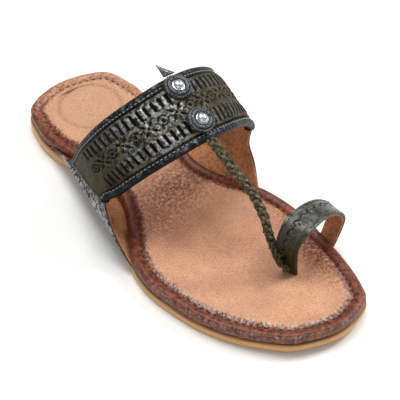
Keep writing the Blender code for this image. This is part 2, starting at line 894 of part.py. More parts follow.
def build_binding(name, edge, width):
    """Leather folded round the strap's rear (edge 0) or front (edge 1) edge."""
    fold = CLEARANCE + BINDING_LEATHER
    back = -STRAP_WALL - CLEARANCE
    eighth = fold * math.cos(math.pi / 4)
    profile = (
        (width, CLEARANCE),
        (width, fold),
        (CLEARANCE, fold),
        (-eighth, fold - eighth),
        (-fold, -STRAP_WALL / 2),
        (-eighth, -STRAP_WALL - fold + eighth),
        (CLEARANCE, -STRAP_WALL - fold),
        (BINDING_RETURN, -STRAP_WALL - fold),
        (BINDING_RETURN, back),
        (-CLEARANCE, back),
        (-CLEARANCE, CLEARANCE),
    )
    inward = 1 if edge == 0 else -1
    rings = []
    for s in strap_lines(FIRST_FOLD, LAST_FOLD):
        corner = STRAP_SURFACE(s, edge)
        up = normal(STRAP_SURFACE, s, edge)
        run = STRAP_SURFACE(s + TANGENT_STEP, edge) - STRAP_SURFACE(s - TANGENT_STEP, edge)
        across = run.cross(up).normalized() * inward
        ring = []
        for reach, height in profile:
            if reach < 0:
                ring.append(corner + across * reach + up * height)
                continue
            w = edge + inward * reach / strap_width(s)
            ring.append(STRAP_SURFACE(s, w) + normal(STRAP_SURFACE, s, w) * height)
        rings.append(ring)
    return tube(name, rings, "edge_leather")


def rosette_seat(back):
    """Frame (matrix) on top of the panel, back metres from the strap's rear edge."""
    s = ROSETTE_RIB
    w = back / strap_width(s)
    up = normal(STRAP_SURFACE, s, w)
    forward = STRAP_SURFACE(s, w + TANGENT_STEP) - STRAP_SURFACE(s, w)
    forward = (forward - up * forward.dot(up)).normalized()
    side = forward.cross(up).normalized()
    rise = CLEARANCE + max(PANEL_SEAT + PANEL_LEATHER, CLEARANCE + BINDING_LEATHER)
    origin = STRAP_SURFACE(s, w) + up * rise
    return Matrix.Translation(origin) @ Matrix((side, forward, up)).transposed().to_4x4()


def turned_body(name, profile, teeth, frame, finish):
    """Body turned from (radius, height) points; the outer edge may carry teeth."""
    count = 2 * teeth
    rings = []
    for radius, height, tooth in profile:
        ring = []
        for i in range(count):
            turn = 2 * math.pi * i / count
            reach = radius - (tooth if i % 2 else 0.0)
            ring.append(frame @ Vector((reach * math.cos(turn), reach * math.sin(turn), height)))
        rings.append(ring)
    return tube(name, rings, finish)


def build_rosette(name, back):
    """Knurled leather disc with a raised ring, seated on the panel."""
    edge = ROSETTE_THICKNESS
    top = edge + RING_THICKNESS
    profile = (
        (ROSETTE_RADIUS - RIM_STEP, 0.0, TOOTH_DEPTH),
        (ROSETTE_RADIUS, edge / 3, TOOTH_DEPTH),
        (ROSETTE_RADIUS - RIM_STEP / 2, edge * 2 / 3, TOOTH_DEPTH),
        (ROSETTE_RADIUS - RIM_BEVEL, edge, 0.0),
        (RING_RADIUS + RING_STEP, edge, 0.0),
        (RING_RADIUS, (edge + top) / 2, 0.0),
        (RING_RADIUS - RING_STEP, top, 0.0),
        (STUD_RADIUS + RING_INNER, top, 0.0),
        (STUD_RADIUS + COLLAR_WIDTH + CLEARANCE, edge, 0.0),
    )
    return turned_body(name, profile, ROSETTE_TEETH, rosette_seat(back), "edge_leather")


def build_stud(name, back):
    """Domed metal stud with a thin collar, riveted on the rosette."""
    base = ROSETTE_THICKNESS + CLEARANCE
    collar, rim = base + COLLAR_THICKNESS, STUD_RADIUS + COLLAR_WIDTH
    profile = [(rim, base, 0.0), (rim, collar, 0.0)]
    for i in range(DOME_STEPS):
        turn = math.pi / 2 * i / DOME_STEPS
        profile.append((STUD_RADIUS * math.cos(turn), collar + STUD_HEIGHT * math.sin(turn), 0.0))
    return turned_body(name, profile, ROSETTE_TEETH // 2, rosette_seat(back), "stud_metal")


def build_horn():
    """Pointed leather tab behind the rear rosette that juts past the strap's edge."""
    seat = rosette_seat(REAR_ROSETTE_BACK)
    start = ROSETTE_RADIUS + HORN_GAP
    height = HORN_THICKNESS / 2 + CLEARANCE
    rings = []
    for k in range(HORN_STEPS + 1):
        ring = []
        t = k / HORN_STEPS
        share = 1 - (1 - HORN_POINT) * t
        thickness = 1 - (1 - HORN_TIP_THICKNESS) * t
        for i in range(HORN_SIDES):
            turn = 2 * math.pi * i / HORN_SIDES
            across = HORN_LEAN * t + share * HORN_WIDTH / 2 * math.cos(turn)
            up = height + thickness * HORN_THICKNESS / 2 * math.sin(turn)
            ring.append(seat @ Vector((across, -start - HORN_LENGTH * t, up)))
        rings.append(ring)
    return tube("horn_tab", rings, "edge_leather")


def main():
    """Build every piece of the sandal."""
    clear_scene()
    build_outsole()
    build_insole()
    build_upper()
    build_slit_panel()
    build_binding("rear_binding", 0, REAR_BINDING)
    front = build_binding("front_binding", 1, FRONT_BINDING)
    combine(front, braid_sleeve("braid_sleeve_cutter"), "DIFFERENCE")
    build_horn()
    for place, back in (("rear", REAR_ROSETTE_BACK), ("front", FRONT_ROSETTE_BACK)):
        build_rosette(f"rosette_{place}", back)
        build_stud(f"stud_{place}", back)


main()
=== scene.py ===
"""Looks of a right-foot leather sandal with a cut instep strap, a plait and a toe loop.

+Z is up, +Y points to the toe and +X to the outer side of the foot, in metres.
"""
import math
from collections import namedtuple

import bmesh
import bpy
import numpy as np
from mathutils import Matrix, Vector


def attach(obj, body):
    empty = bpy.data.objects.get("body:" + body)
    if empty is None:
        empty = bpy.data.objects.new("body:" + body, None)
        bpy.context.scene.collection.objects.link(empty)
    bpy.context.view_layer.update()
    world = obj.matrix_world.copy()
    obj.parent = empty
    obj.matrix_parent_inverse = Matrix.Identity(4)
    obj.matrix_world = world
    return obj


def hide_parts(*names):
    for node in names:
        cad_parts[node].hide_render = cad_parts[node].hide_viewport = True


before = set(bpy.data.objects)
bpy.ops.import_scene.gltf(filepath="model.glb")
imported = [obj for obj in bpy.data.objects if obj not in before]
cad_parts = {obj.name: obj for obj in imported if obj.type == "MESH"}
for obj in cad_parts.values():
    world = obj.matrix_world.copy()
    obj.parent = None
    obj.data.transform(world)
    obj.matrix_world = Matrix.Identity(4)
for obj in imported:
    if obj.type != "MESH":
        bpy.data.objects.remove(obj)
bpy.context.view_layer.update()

bl_info = {
    "name": "Toe-loop sandal",
    "version": (1, 0, 0),
    "blender": (4, 5, 0),
    "location": "3D View > Sidebar > Sandal",
    "description": "Finishes a right-foot leather sandal around its solid model",
    "category": "Add Mesh",
}

MM = 0.001

# Sole: plan sizes and heights of the solid model
LENGTH = 0.2515
HEEL_CENTRE = 0.0305
BALL_WIDTH = 0.101
HEEL_WIDTH = 0.069
WAIST_WIDTH = 0.053
TOE_WIDTH = 0.065
OUTSOLE_LIP = 0.0006
OUTSOLE_AT_HEEL = 0.0080
OUTSOLE_AT_BALL = 0.0056
INSOLE_AT_HEEL = 0.0070
INSOLE_AT_BALL = 0.0060
ARCH_RISE = 0.0024
TOE_SPRING = 0.0030
FOOTBED_DISH = 0.0012
CLEARANCE = 0.0003
SEAM_TUCK = 0.0034
SEAM_DEPTH = 0.0045
SEAM_MOUTH = 0.0010
SKIVED_WALL = 0.0013

# Shares of LENGTH between which the sole changes, and ribs from an end over which a
# strap's wall comes to its full thickness
THINNING = (0.22, 0.62)
ARCH_START = (0.29, 0.37)
ARCH_END = (0.44, 0.55)
TOE_SPRING_START = 0.75
SKIVED_RIBS = (0.8, 2.0)

# Straps of the solid model
STRAP_WALL = 0.0022
STRAP_SPREAD = 0.100
STRAP_BOW = 0.0020
BOW_CENTRE = 0.4
RIB_SAMPLES = np.linspace(0.0, 1.0, 33)
INSTEP_HEIGHT = 0.0875
LOOP_WALL = 0.0022
LOOP_HEIGHT = 0.0422
SLOT_DEPTH = 0.0036
FOOT_RISE = 0.0014
BRAID_WIDTH = 0.0068
REAR_BINDING = 0.0046
FRONT_BINDING = 0.0034
PANEL_LEATHER = 0.0012
PANEL_GAP = 0.0006
PANEL_SEAT = 0.0004
SLIT_LENGTH = 0.0078
SLIT_MARGIN = 0.0018
SLIT_WIDTH = 0.0014
SLIT_PITCH = 0.0044
PLAIN_END = 0.0190
MOTIF_EVERY = 4

# Rosettes, studs and horn of the solid model
ROSETTE_RADIUS = 0.0084
ROSETTE_THICKNESS = 0.0021
RING_RADIUS = 0.0060
RING_THICKNESS = 0.0010
STUD_RADIUS = 0.0031
STUD_HEIGHT = 0.0022
ROSETTE_RIB = 7.1
REAR_ROSETTE_BACK = 0.0082
FRONT_ROSETTE_BACK = 0.0310
HORN_GAP = 0.0004
HORN_LENGTH = 0.0085
HORN_WIDTH = 0.0082
HORN_THICKNESS = 0.0022
HORN_LEAN = 0.0030

# Outline of the sole, as in the solid model
Outline = namedtuple("Outline", "along width lateral medial")
OUTLINE = (
    Outline(0.030, "heel", 0.77, 0.73),
    Outline(0.100, "heel", 0.97, 0.96),
    Outline(0.160, "heel", 1.00, 1.00),
    Outline(0.250, "heel", 0.87, 0.94),
    Outline(0.330, "waist", 0.99, 1.08),
    Outline(0.400, "waist", 1.01, 0.99),
    Outline(0.460, "waist", 1.21, 1.12),
    Outline(0.520, "ball", 0.81, 0.76),
    Outline(0.580, "ball", 0.955, 0.91),
    Outline(0.650, "ball", 1.00, 0.99),
    Outline(0.720, "ball", 0.95, 1.00),
    Outline(0.800, "ball", 0.84, 0.975),
    Outline(0.870, "toe", 1.03, 1.44),
    Outline(0.930, "toe", 0.67, 1.32),
    Outline(0.973, "toe", 0.28, 1.12),
)
HEEL_END_SHIFT = 0.06
TOE_END_SHIFT = -0.46

# Edge of the outsole from its tread round the side to its top: millimetres inside the
# outline and share of the outsole's thickness
EdgePoint = namedtuple("EdgePoint", "inset height")
OUTSOLE_EDGE = (
    EdgePoint(2.6, 0.0),
    EdgePoint(1.3, 0.02),
    EdgePoint(0.55, 0.10),
    EdgePoint(0.15, 0.24),
    EdgePoint(0.0, 0.42),
    EdgePoint(0.0, 0.62),
    EdgePoint(0.10, 0.80),
    EdgePoint(0.35, 0.92),
    EdgePoint(0.90, 1.00),
    EdgePoint(2.4, 1.00),
)

# Edge of the insole from its underside round the rolled rim to the footbed:
# metres inside the outline, share of the insole's thickness
RimPoint = namedtuple("RimPoint", "inset height")
RIM = (
    RimPoint(0.0002, 0.30),
    RimPoint(0.0000, 0.58),
    RimPoint(0.0003, 0.74),
    RimPoint(0.0014, 0.92),
    RimPoint(0.0031, 1.00),
    RimPoint(0.0049, 0.95),
    RimPoint(0.0060, 0.84),
    RimPoint(0.0066, 0.78),
    RimPoint(0.0073, 0.84),
    RimPoint(0.0086, 0.95),
    RimPoint(0.0110, 0.95),
)

# Instep strap and toe loop, as in the solid model: shares of LENGTH, of half
# STRAP_SPREAD or half BALL_WIDTH, of INSTEP_HEIGHT or LOOP_HEIGHT, and of STRAP_BOW
Rib = namedtuple("Rib", "rear_along rear_out rear_up front_along front_out front_up bow", defaults=(0.0,))
STRAP_RIBS = (
    Rib(0.209, 0.71, 0.150, 0.515, 1.00, 0.206),
    Rib(0.260, 0.69, 0.210, 0.467, 0.95, 0.394, 0.30),
    Rib(0.309, 0.71, 0.466, 0.495, 0.82, 0.514, 0.55),
    Rib(0.361, 0.60, 0.725, 0.525, 0.61, 0.645, 0.70),
    Rib(0.402, 0.30, 0.917, 0.554, 0.28, 0.770, 0.70),
    Rib(0.413, -0.10, 0.988, 0.564, -0.10, 0.822, 0.70),
    Rib(0.394, -0.535, 0.913, 0.548, -0.48, 0.755, 0.80),
    Rib(0.361, -0.905, 0.732, 0.521, -0.78, 0.645, 1.00),
    Rib(0.319, -1.00, 0.488, 0.498, -0.98, 0.535, 0.80),
    Rib(0.278, -0.80, 0.225, 0.486, -1.06, 0.440, 0.40),
    Rib(0.250, -0.775, 0.185, 0.490, -1.01, 0.320),
    Rib(0.222, -0.755, 0.150, 0.517, -0.99, 0.200),
)
LATERAL_WING = (0.165, 0.578)
MEDIAL_WING = (0.178, 0.558)
FIRST_FOLD = 3
LAST_FOLD = 11
LOOP_RIBS = (
    Rib(0.785, -0.265, 0.520, 0.824, -0.360, 0.500),
    Rib(0.778, -0.250, 0.790, 0.826, -0.375, 0.780),
    Rib(0.763, -0.430, 0.985, 0.823, -0.550, 0.950),
    Rib(0.744, -0.740, 0.930, 0.806, -0.830, 0.930),
    Rib(0.731, -1.040, 0.740, 0.794, -1.070, 0.770),
    Rib(0.740, -1.180, 0.520, 0.795, -1.165, 0.550),
)
LOOP_SLOT = Rib(0.794, -0.285, 0.0, 0.825, -0.366, 0.0)
LOOP_FOOT = (0.750, 0.800)
PathPoint = namedtuple("PathPoint", "along out up")
BRAID_PATH = (
    PathPoint(0.553, -0.125, 0.815),
    PathPoint(0.583, -0.141, 0.805),
    PathPoint(0.642, -0.172, 0.717),
    PathPoint(0.696, -0.216, 0.625),
    PathPoint(0.735, -0.228, 0.520),
    PathPoint(0.763, -0.216, 0.399),
    PathPoint(0.789, -0.228, 0.270),
    PathPoint(0.800, -0.258, 0.205),
    PathPoint(0.810, -0.318, 0.168),
)

# Folded leather along the strap's edges: reach in from the edge and height above
# the strap's outer face, in millimetres
BindingPoint = namedtuple("BindingPoint", "reach height")
BINDING = (
    BindingPoint(4.6, 0.35),
    BindingPoint(4.6, 0.90),
    BindingPoint(4.3, 1.15),
    BindingPoint(3.8, 1.20),
    BindingPoint(3.3, 1.00),
    BindingPoint(2.9, 0.90),
    BindingPoint(2.6, 1.15),
    BindingPoint(2.0, 1.45),
    BindingPoint(1.0, 1.55),
    BindingPoint(0.1, 1.40),
    BindingPoint(-0.7, 0.90),
    BindingPoint(-1.25, 0.00),
    BindingPoint(-1.3, -1.20),
    BindingPoint(-1.05, -2.30),
    BindingPoint(-0.5, -3.10),
    BindingPoint(0.5, -3.50),
    BindingPoint(3.6, -3.50),
    BindingPoint(4.0, -3.20),
    BindingPoint(4.0, -2.55),
    BindingPoint(-0.3, -2.55),
    BindingPoint(-0.3, 0.35),
)

# Soft creases of the wings and plain strap ends: place along and across the strap,
# half length across, half width along (in ribs) and depth in millimetres
Crease = namedtuple("Crease", "s w length width depth")
STRAP_CREASES = (
    Crease(2.55, 0.62, 0.26, 0.11, 0.55),
    Crease(2.05, 0.36, 0.20, 0.16, 0.45),
    Crease(1.55, 0.74, 0.18, 0.20, 0.50),
    Crease(1.75, 0.16, 0.12, 0.18, 0.35),
    Crease(12.10, 0.58, 0.24, 0.14, 0.50),
    Crease(12.80, 0.34, 0.22, 0.18, 0.45),
    Crease(13.35, 0.70, 0.20, 0.20, 0.45),
    Crease(3.35, 0.50, 0.30, 0.08, 0.25),
)

# Where the footbed is painted darker, burnished leather with painted shade under the strap
# and by the toe loop: shares of LENGTH and of half BALL_WIDTH, radii in millimetres and strength
BurnishAndShade = namedtuple("BurnishAndShade", "along out radius_x radius_y strength")
BURNISHED_AND_SHADED = (
    BurnishAndShade(0.445, -0.10, 30.0, 17.0, 0.85),
    BurnishAndShade(0.520, 0.35, 22.0, 14.0, 0.40),
    BurnishAndShade(0.780, -0.78, 13.0, 22.0, 0.75),
    BurnishAndShade(0.880, -0.82, 12.0, 20.0, 0.55),
    BurnishAndShade(0.680, -0.84, 10.0, 26.0, 0.45),
)

# Where the rim's leather is gathered, waxed and stained dark, and where its outer ridge takes
# a painted highlight: share of LENGTH, then strengths on the lateral and the medial side
Gather = namedtuple(
    "Gather", "along lateral_pucker medial_pucker lateral_wax medial_wax lateral_dark medial_dark"
)
GATHERS = (
    Gather(0.00, 0.35, 0.35, 0.00, 0.00, 0.42, 0.30),
    Gather(0.08, 0.60, 0.30, 0.00, 0.00, 0.75, 0.30),
    Gather(0.20, 0.70, 0.40, 0.05, 0.00, 0.95, 0.45),
    Gather(0.40, 0.50, 0.50, 0.05, 0.10, 1.00, 0.90),
    Gather(0.55, 0.60, 0.60, 0.20, 0.10, 1.00, 1.00),
    Gather(0.68, 0.90, 0.50, 0.75, 0.05, 1.00, 0.90),
    Gather(0.80, 1.00, 0.60, 1.00, 0.10, 0.95, 0.90),
    Gather(0.90, 1.00, 0.75, 1.00, 0.30, 0.90, 0.85),
    Gather(1.00, 0.90, 0.90, 0.80, 0.70, 0.90, 0.90),
)

# Bands along the rim: distance inside the outline, half width and strength
Band = namedtuple("Band", "inset width strength")
PUCKER_BANDS = (Band(0.0084, 0.0016, 1.0), Band(0.0046, 0.0018, 0.45))
# Pale bands: waxed gathers beside the stitching, and a painted highlight along the rim's outer ridge.
WAX_AND_HIGHLIGHT_BANDS = (Band(0.0086, 0.0017, 1.0), Band(0.0006, 0.0006, 0.55))
WANDER_BAND = Band(0.0066, 0.002, 0.00018)
WANDER_WAVES = 7

# Dark stain of the rim: reach and raggedness of its inner edge, size of its
# tongues, and how far it fades outwards and inwards
STAIN_REACH = 0.0082
STAIN_RAGGED = 0.0016
STAIN_CELL = 0.006
STAIN_FADE = (0.0022, 0.0026)

# Where no strap enters the seam the insole's edge closes it: how much, and how far
# from a strap it starts
SEAM_CLOSING = 0.9
SEAM_EASE = 0.008

# Share of the outline over which the gathers of the two sides meet at heel and toe
END_BLEND = 0.03

# Heel pad: oval line pressed into the footbed, and the paler leather round it
PAD_CENTRE = (-0.0010, -0.0015)
PAD_RADII = (0.0188, 0.0182)
PAD_DEPTH = 0.0005
PAD_LINE = 0.0012
PAD_SWELL = 0.0003
PALE_RADIUS = 0.027
PALE_FADE = 0.022

# Rounding of cut leather edges
STRAP_EDGE = 0.0007
PANEL_EDGE = 0.0005
LOOP_EDGE = 0.0008

# Panel's lip, ripple and patches of rubbed silver with painted highlight, rosette's knurls and the bindings'
# wobble
PANEL_LIP = 0.0005
PANEL_RIPPLE = 0.0003
RIPPLE_CELL = 0.0021
RUB_AND_HIGHLIGHT_CELL = 0.007
RUB_AND_HIGHLIGHT_END = 0.017
RUB_AND_HIGHLIGHT_FADE = 0.008
KNURL_DEPTH = 0.0007
BINDING_WOBBLE = 0.00016
WOBBLE_CELL = 0.0035

# Where the leather is painted pale, rubbed silver with a painted highlight: middle, half
# width and strength, in ribs along the strap or in shares of a piece's length
HighlightBand = namedtuple("HighlightBand", "middle width strength")
WING_HIGHLIGHT = (HighlightBand(2.3, 0.6, 1.9), HighlightBand(11.5, 0.4, 0.9))
PANEL_HIGHLIGHT = (HighlightBand(0.40, 0.14, 1.60), HighlightBand(0.64, 0.10, 0.20))
LOOP_HIGHLIGHT = (HighlightBand(0.42, 0.10, 0.36), HighlightBand(0.66, 0.10, 0.144))

# Small cuts of the panel's middle row: radii and half widths of line
PETAL = (0.0031, 0.0014)
RAY = (0.0048, 0.0012)
HUB = 0.0007
LOZENGE = 0.0009
SCALLOP = (0.0029, 0.00035)
RAISED_PETAL = 0.0004
CUT_SOFTNESS = 0.0006
SLIT_WAVER = 0.0006

# Toe loop: punched arcs and dots, pressed line and stitches, from its edges
ARC_RADIUS = 0.0023
ARC_LINE = 0.00042
ARC_HALF_DOT = 0.00055
ARC_MID_DOT = 0.00050
ARC_DEPTH = 0.0006
BEAD_INSET = 0.0028
BEAD_DEPTH = 0.00022
LOOP_STITCH_INSET = 0.0017

# Stitches: length, distance in from an edge, and rib of the wings' rows
RIM_STITCH = 0.0024
WING_STITCH = 0.0019
REAR_STITCH_INSET = 0.0030
FRONT_STITCH_INSET = 0.0022
BINDING_STITCH_HEIGHT = 0.0011
STITCH_LIFT = 0.0001
LOOP_STITCH_LIFT = 0.0002
LATERAL_STITCH_RIB = 2.62
MEDIAL_STITCH_RIB = 11.35
STITCH_FILL = 0.68
LOOP_STITCH_FILL = 0.55

# Camera at the photograph's angle, aimed at the middle of the sandal
CAMERA_PLACE = (0.39591, 0.65214, 0.72157)
CAMERA_AIM = (-0.0093, 0.0998, 0.0120)
SENSOR_WIDTH = 36.0
CAMERA_LENS = 155.0

# Softboxes: place, width in metres and watts, all turned to one point of the sandal
Lamp = namedtuple("Lamp", "name place width watts")
LAMPS = (
    Lamp("overhead_softbox", (-0.10, -0.25, 1.30), 0.8, 13.5),
    Lamp("key_softbox", (-1.00, 0.25, 0.95), 0.45, 10.5),
    Lamp("fill_softbox", (0.80, 1.10, 0.70), 0.9, 2.5),
)
LAMP_AIM = (0.0, 0.09, 0.02)
AIR_STRENGTH = 0.42
FLOOR_REACH = 6.0

# Mesh density: counts of lines across a piece, and steps along a curve
SOLE_STATIONS = 420
OUTLINE_STEPS = 40
UNDERSIDE_COLUMNS = 12
RIM_STEPS = 3
FOOTBED_COLUMNS = 60
STRAP_LINES = 300
STRAP_COLUMNS = 56
PANEL_CELL = 0.0004
PANEL_COLUMNS = 96
BINDING_LINES = 260
BINDING_STEPS = 2
LOOP_LINES = 260
LOOP_COLUMNS = 56
PLAIT_POINTS = 120
PLAIT_CELL = 0.0004
TURNED_SIDES = 112
STUD_SIDES = 64
STUD_STEPS = 12
HORN_LINES = 28
HORN_SIDES = 32
TRAVEL_STEPS = 1200
SEAM_STEPS = 1500
WING_SEAM_STEPS = 900
TANGENT_STEP = 0.02
SEWING_STEP = 0.01
RING_STEP = 0.0005
NOISE_GRID = 64

# Kinds of node that the materials and trees use most
NOISE = "ShaderNodeTexNoise"
MAPPING = "ShaderNodeMapping"
RANGE = "ShaderNodeMapRange"
MIX = "ShaderNodeMix"
MATH = "ShaderNodeMath"
VECTOR_MATH = "ShaderNodeVectorMath"
BUMP = "ShaderNodeBump"


def linear(code):
    """Linear RGB of an sRGB hex colour."""
    parts = [int(code[i:i + 2], 16) / 255 for i in (1, 3, 5)]
    return tuple(p / 12.92 if p <= 0.04045 else ((p + 0.055) / 1.055) ** 2.4 for p in parts)


def length(label, text, size):
    """Length property in metres."""
    return bpy.props.FloatProperty(
        name=label, description=text, default=size, min=0.0, unit="LENGTH", precision=5
    )


def colour(label, text, code):
    """Colour property from an sRGB hex value."""
    return bpy.props.FloatVectorProperty(
        name=label, description=text, subtype="COLOR", size=3, min=0.0, max=1.0, default=linear(code)
    )


class SandalSizes(bpy.types.PropertyGroup):
    """Sizes of the fine work that the solid model leaves out."""

    pucker_pitch: length("Pucker pitch", "Spacing of the gathers along the insole's rim", 0.0034)
    pucker_depth: length("Pucker depth", "Depth of the gathers beside the rim's stitching", 0.0009)
    rim_stitch_pitch: length("Rim stitch pitch", "Spacing of the stitches in the insole's groove", 0.0042)
    strap_stitch_pitch: length("Strap stitch pitch", "Spacing of the stitches along the bindings", 0.0027)
    wing_stitch_pitch: length("Wing stitch pitch", "Spacing of the stitches along the strap's wings", 0.0030)
    loop_stitch_pitch: length("Loop stitch pitch", "Spacing of the stitches along the toe loop", 0.0036)
    thread: length("Thread", "Diameter of the waxed thread", 0.0006)
    block_pillow: length("Block pillow", "Crown of the leather blocks between the slits", 0.0005)
    strand_width: length("Strand width", "Width of one strand of the plait", 0.0031)
    strand_thickness: length("Strand thickness", "Thickness of one strand of the plait", 0.0015)
    plait_period: length("Plait period", "Length in which a strand returns to its side", 0.0150)
    scallop_pitch: length("Scallop pitch", "Spacing of the punched arcs on the toe loop", 0.0064)
    rosette_teeth: bpy.props.IntProperty(
        name="Rosette teeth", description="Notches round the edge of a rosette", default=28, min=8
    )


class SandalColours(bpy.types.PropertyGroup):
    """Colours of the sandal's finishes."""

    footbed: colour("Footbed", "Tan of the footbed leather", "#cd9a78")
    footbed_shade: colour("Footbed shade", "Darker clouds in the footbed leather", "#b58264")
    heel_tint: colour("Heel tint", "Lighter tan of the heel pad", "#b99072")
    # Also the painted shade under the strap and by the toe loop, besides the pores and sole scuffs.
    burnish_and_shade: colour("BurnishAndShade", "Brown rubbed into the footbed", "#6b3b22")
    rim: colour("Rim", "Dark red-brown of the rolled rim", "#431a10")
    rim_light: colour("Rim light", "Worn tone of the rolled rim", "#87462b")
    # Pale of the waxed gathers, also laid as a painted highlight along the rim's outer ridge.
    wax: colour("Wax", "Pale wax left on the gathers", "#d6c8be")
    sole_honey: colour("Sole honey", "Natural lower edge of the outsole", "#cf9b5e")
    sole_dark: colour("Sole dark", "Stained upper edge of the outsole", "#5c3522")
    olive: colour("Olive", "Olive cast of the antiqued strap", "#42391c")
    strap_black: colour("Strap black", "Dark ground of the antiqued strap", "#100f0a")
    # Rubbed silver, also laid as the painted highlights of the strap, its wings and the toe loop.
    silver: colour("Silver", "Rubbed silver finish on raised leather", "#a9abab")
    binding: colour("Binding", "Polished blue-black binding leather", "#0c0e10")
    # Grey of the painted highlights on the bindings' roll and the rosettes' ring.
    binding_highlight: colour("Binding rub", "Worn grey of the binding's ridges", "#7b8388")
    lining: colour("Lining", "Orange-brown lining of strap and wings", "#d08c58")
    lining_spot: colour("Lining spot", "Dark specks in the lining", "#6d3d24")
    loop: colour("Loop", "Olive grey leather of the toe loop", "#2d2a17")
    loop_patina: colour("Loop patina", "Darker patina at the loop's foot", "#312b13")
    fleck: colour("Fleck", "Tan flecks of the plait", "#85714a")
    thread_dark: colour("Dark thread", "Black waxed thread", "#15110f")
    thread_pale: colour("Pale thread", "Grey waxed thread", "#a7a9a5")
    nickel: colour("Nickel", "Nickel-plated domes", "#cfd3d8")
    floor: colour("Floor", "Pale studio floor", "#f4f4f2")


def catmull(points, places):
    """Points at places (0 to len - 1) on the smooth curve through rows of numbers."""
    points = np.asarray(points, dtype=float)
    places = np.asarray(places, dtype=float)
    last = len(points) - 1
    index = np.clip(np.floor(places).astype(int), 0, last - 1)
    t = (places - index).reshape(places.shape + (1,) * (points.ndim - 1))
    p1, p2 = points[index], points[index + 1]
    first = (index == 0).reshape(t.shape)
    final = (index == last - 1).reshape(t.shape)
    p0 = np.where(first, 2 * p1 - p2, points[np.maximum(index - 1, 0)])
    p3 = np.where(final, 2 * p2 - p1, points[np.minimum(index + 2, last)])
    return 0.5 * (
        2 * p1
        + (p2 - p0) * t
        + (2 * p0 - 5 * p1 + 4 * p2 - p3) * t * t
        + (3 * p1 - 3 * p2 + p3 - p0) * t * t * t
    )


def smooth_step(value, low, high):
    """0 below low, 1 above high, and a smooth ramp between them."""
    t = np.clip((value - low) / (high - low), 0.0, 1.0)
    return t * t * (3 - 2 * t)


def within(distance, edge, soft):
    """1 where a distance is inside an edge, 0 outside, softened over a width."""
    return 1 - smooth_step(distance, edge - soft / 2, edge + soft / 2)


def bell(distance, width):
    """Soft bump of height 1."""
    return np.exp(-((distance / width) ** 2))


def summed(bumps, place):
    """Sum of soft bumps, each with a middle, a half width and a strength."""
    return sum(strength * bell(place - middle, width) for middle, width, strength in bumps)


def along_to_y(along):
    """World Y of a share of the length."""
    return along * LENGTH - HEEL_CENTRE


def y_to_along(y):
    """Share of the length at a world Y."""
    return (y + HEEL_CENTRE) / LENGTH


def outline_side(side):
    """Dense plan curve of one side (+1 lateral, -1 medial) from heel end to toe end."""
    widths = {"heel": HEEL_WIDTH, "waist": WAIST_WIDTH, "ball": BALL_WIDTH, "toe": TOE_WIDTH}
    sides = {
        1: [(row.lateral * widths[row.width] / 2, along_to_y(row.along)) for row in OUTLINE],
        -1: [(-row.medial * widths[row.width] / 2, along_to_y(row.along)) for row in OUTLINE],
    }
    heel = (HEEL_END_SHIFT * HEEL_WIDTH / 2, along_to_y(0.0))
    toe = (TOE_END_SHIFT * TOE_WIDTH / 2, along_to_y(1.0))
    other = sides[-side]
    points = [other[1], other[0], heel, *sides[side], toe, other[-1], other[-2]]
    first, last = 2, len(points) - 3
    return catmull(points, np.linspace(first, last, (last - first) * OUTLINE_STEPS + 1))


OUTLINE_CURVES = {side: outline_side(side) for side in (1, -1)}


def offset_curve(side, inset):
    """The plan curve of one side moved inwards by inset, measured square to it."""
    curve = OUTLINE_CURVES[side]
    tangent = np.gradient(curve, axis=0)
    tangent[0] = (side, 0.0)
    tangent[-1] = (-side, 0.0)
    tangent /= np.linalg.norm(tangent, axis=1, keepdims=True)
    inward = np.stack([-side * tangent[:, 1], side * tangent[:, 0]], axis=1)
    return curve + inward * inset


def outline_x(side, inset, y):
    """X of one side of the outline at world Y values."""
    curve = offset_curve(side, inset)
    return np.interp(y, np.maximum.accumulate(curve[:, 1]), curve[:, 0])


def outline_ring(inset, stations=SOLE_STATIONS):
    """Plan ring from the heel end up the lateral side to the toe and back."""
    low, high = offset_curve(1, inset)[[0, -1]]
    turn = math.pi * np.arange(1, stations) / stations
    y = low[1] + (high[1] - low[1]) * (1 - np.cos(turn)) / 2
    lateral = np.stack([outline_x(1, inset, y), y], axis=1)
    medial = np.stack([outline_x(-1, inset, y), y], axis=1)
    return np.vstack([low, lateral, high, medial[::-1]])


def toe_rise(y):
    """Lift of the whole sole in front of the ball."""
    share = (y_to_along(y) - TOE_SPRING_START) / (1 - TOE_SPRING_START)
    return TOE_SPRING * np.maximum(0.0, share) ** 2


def arch_lift(y):
    """Hollow of the outsole's underside between heel and ball."""
    share = y_to_along(y)
    return ARCH_RISE * smooth_step(share, *ARCH_START) * (1 - smooth_step(share, *ARCH_END))


def heel_to_ball(y):
    """0 at the heel and 1 at the ball."""
    return smooth_step(y_to_along(y), *THINNING)


def outsole_top(y):
    """Height of the outsole's upper face above the floor."""
    return OUTSOLE_AT_HEEL + (OUTSOLE_AT_BALL - OUTSOLE_AT_HEEL) * heel_to_ball(y) + toe_rise(y)


def insole_thickness(y):
    """Thickness of the insole at its rim."""
    return INSOLE_AT_HEEL + (INSOLE_AT_BALL - INSOLE_AT_HEEL) * heel_to_ball(y)


def insole_height(y, share):
    """World height of a share of the insole's thickness."""
    return outsole_top(y) + CLEARANCE + share * insole_thickness(y)


def ring_lengths(ring):
    """Distance travelled along a closed ring of points, and its whole length."""
    steps = np.linalg.norm(np.roll(ring, -1, axis=0) - ring, axis=1)
    return np.concatenate([[0.0], np.cumsum(steps)[:-1]]), steps.sum()


def path_lengths(points):
    """Distance travelled along an open path, at each of its points."""
    steps = np.linalg.norm(np.diff(points, axis=0), axis=-1)
    return np.concatenate([[0.0], np.cumsum(steps)])


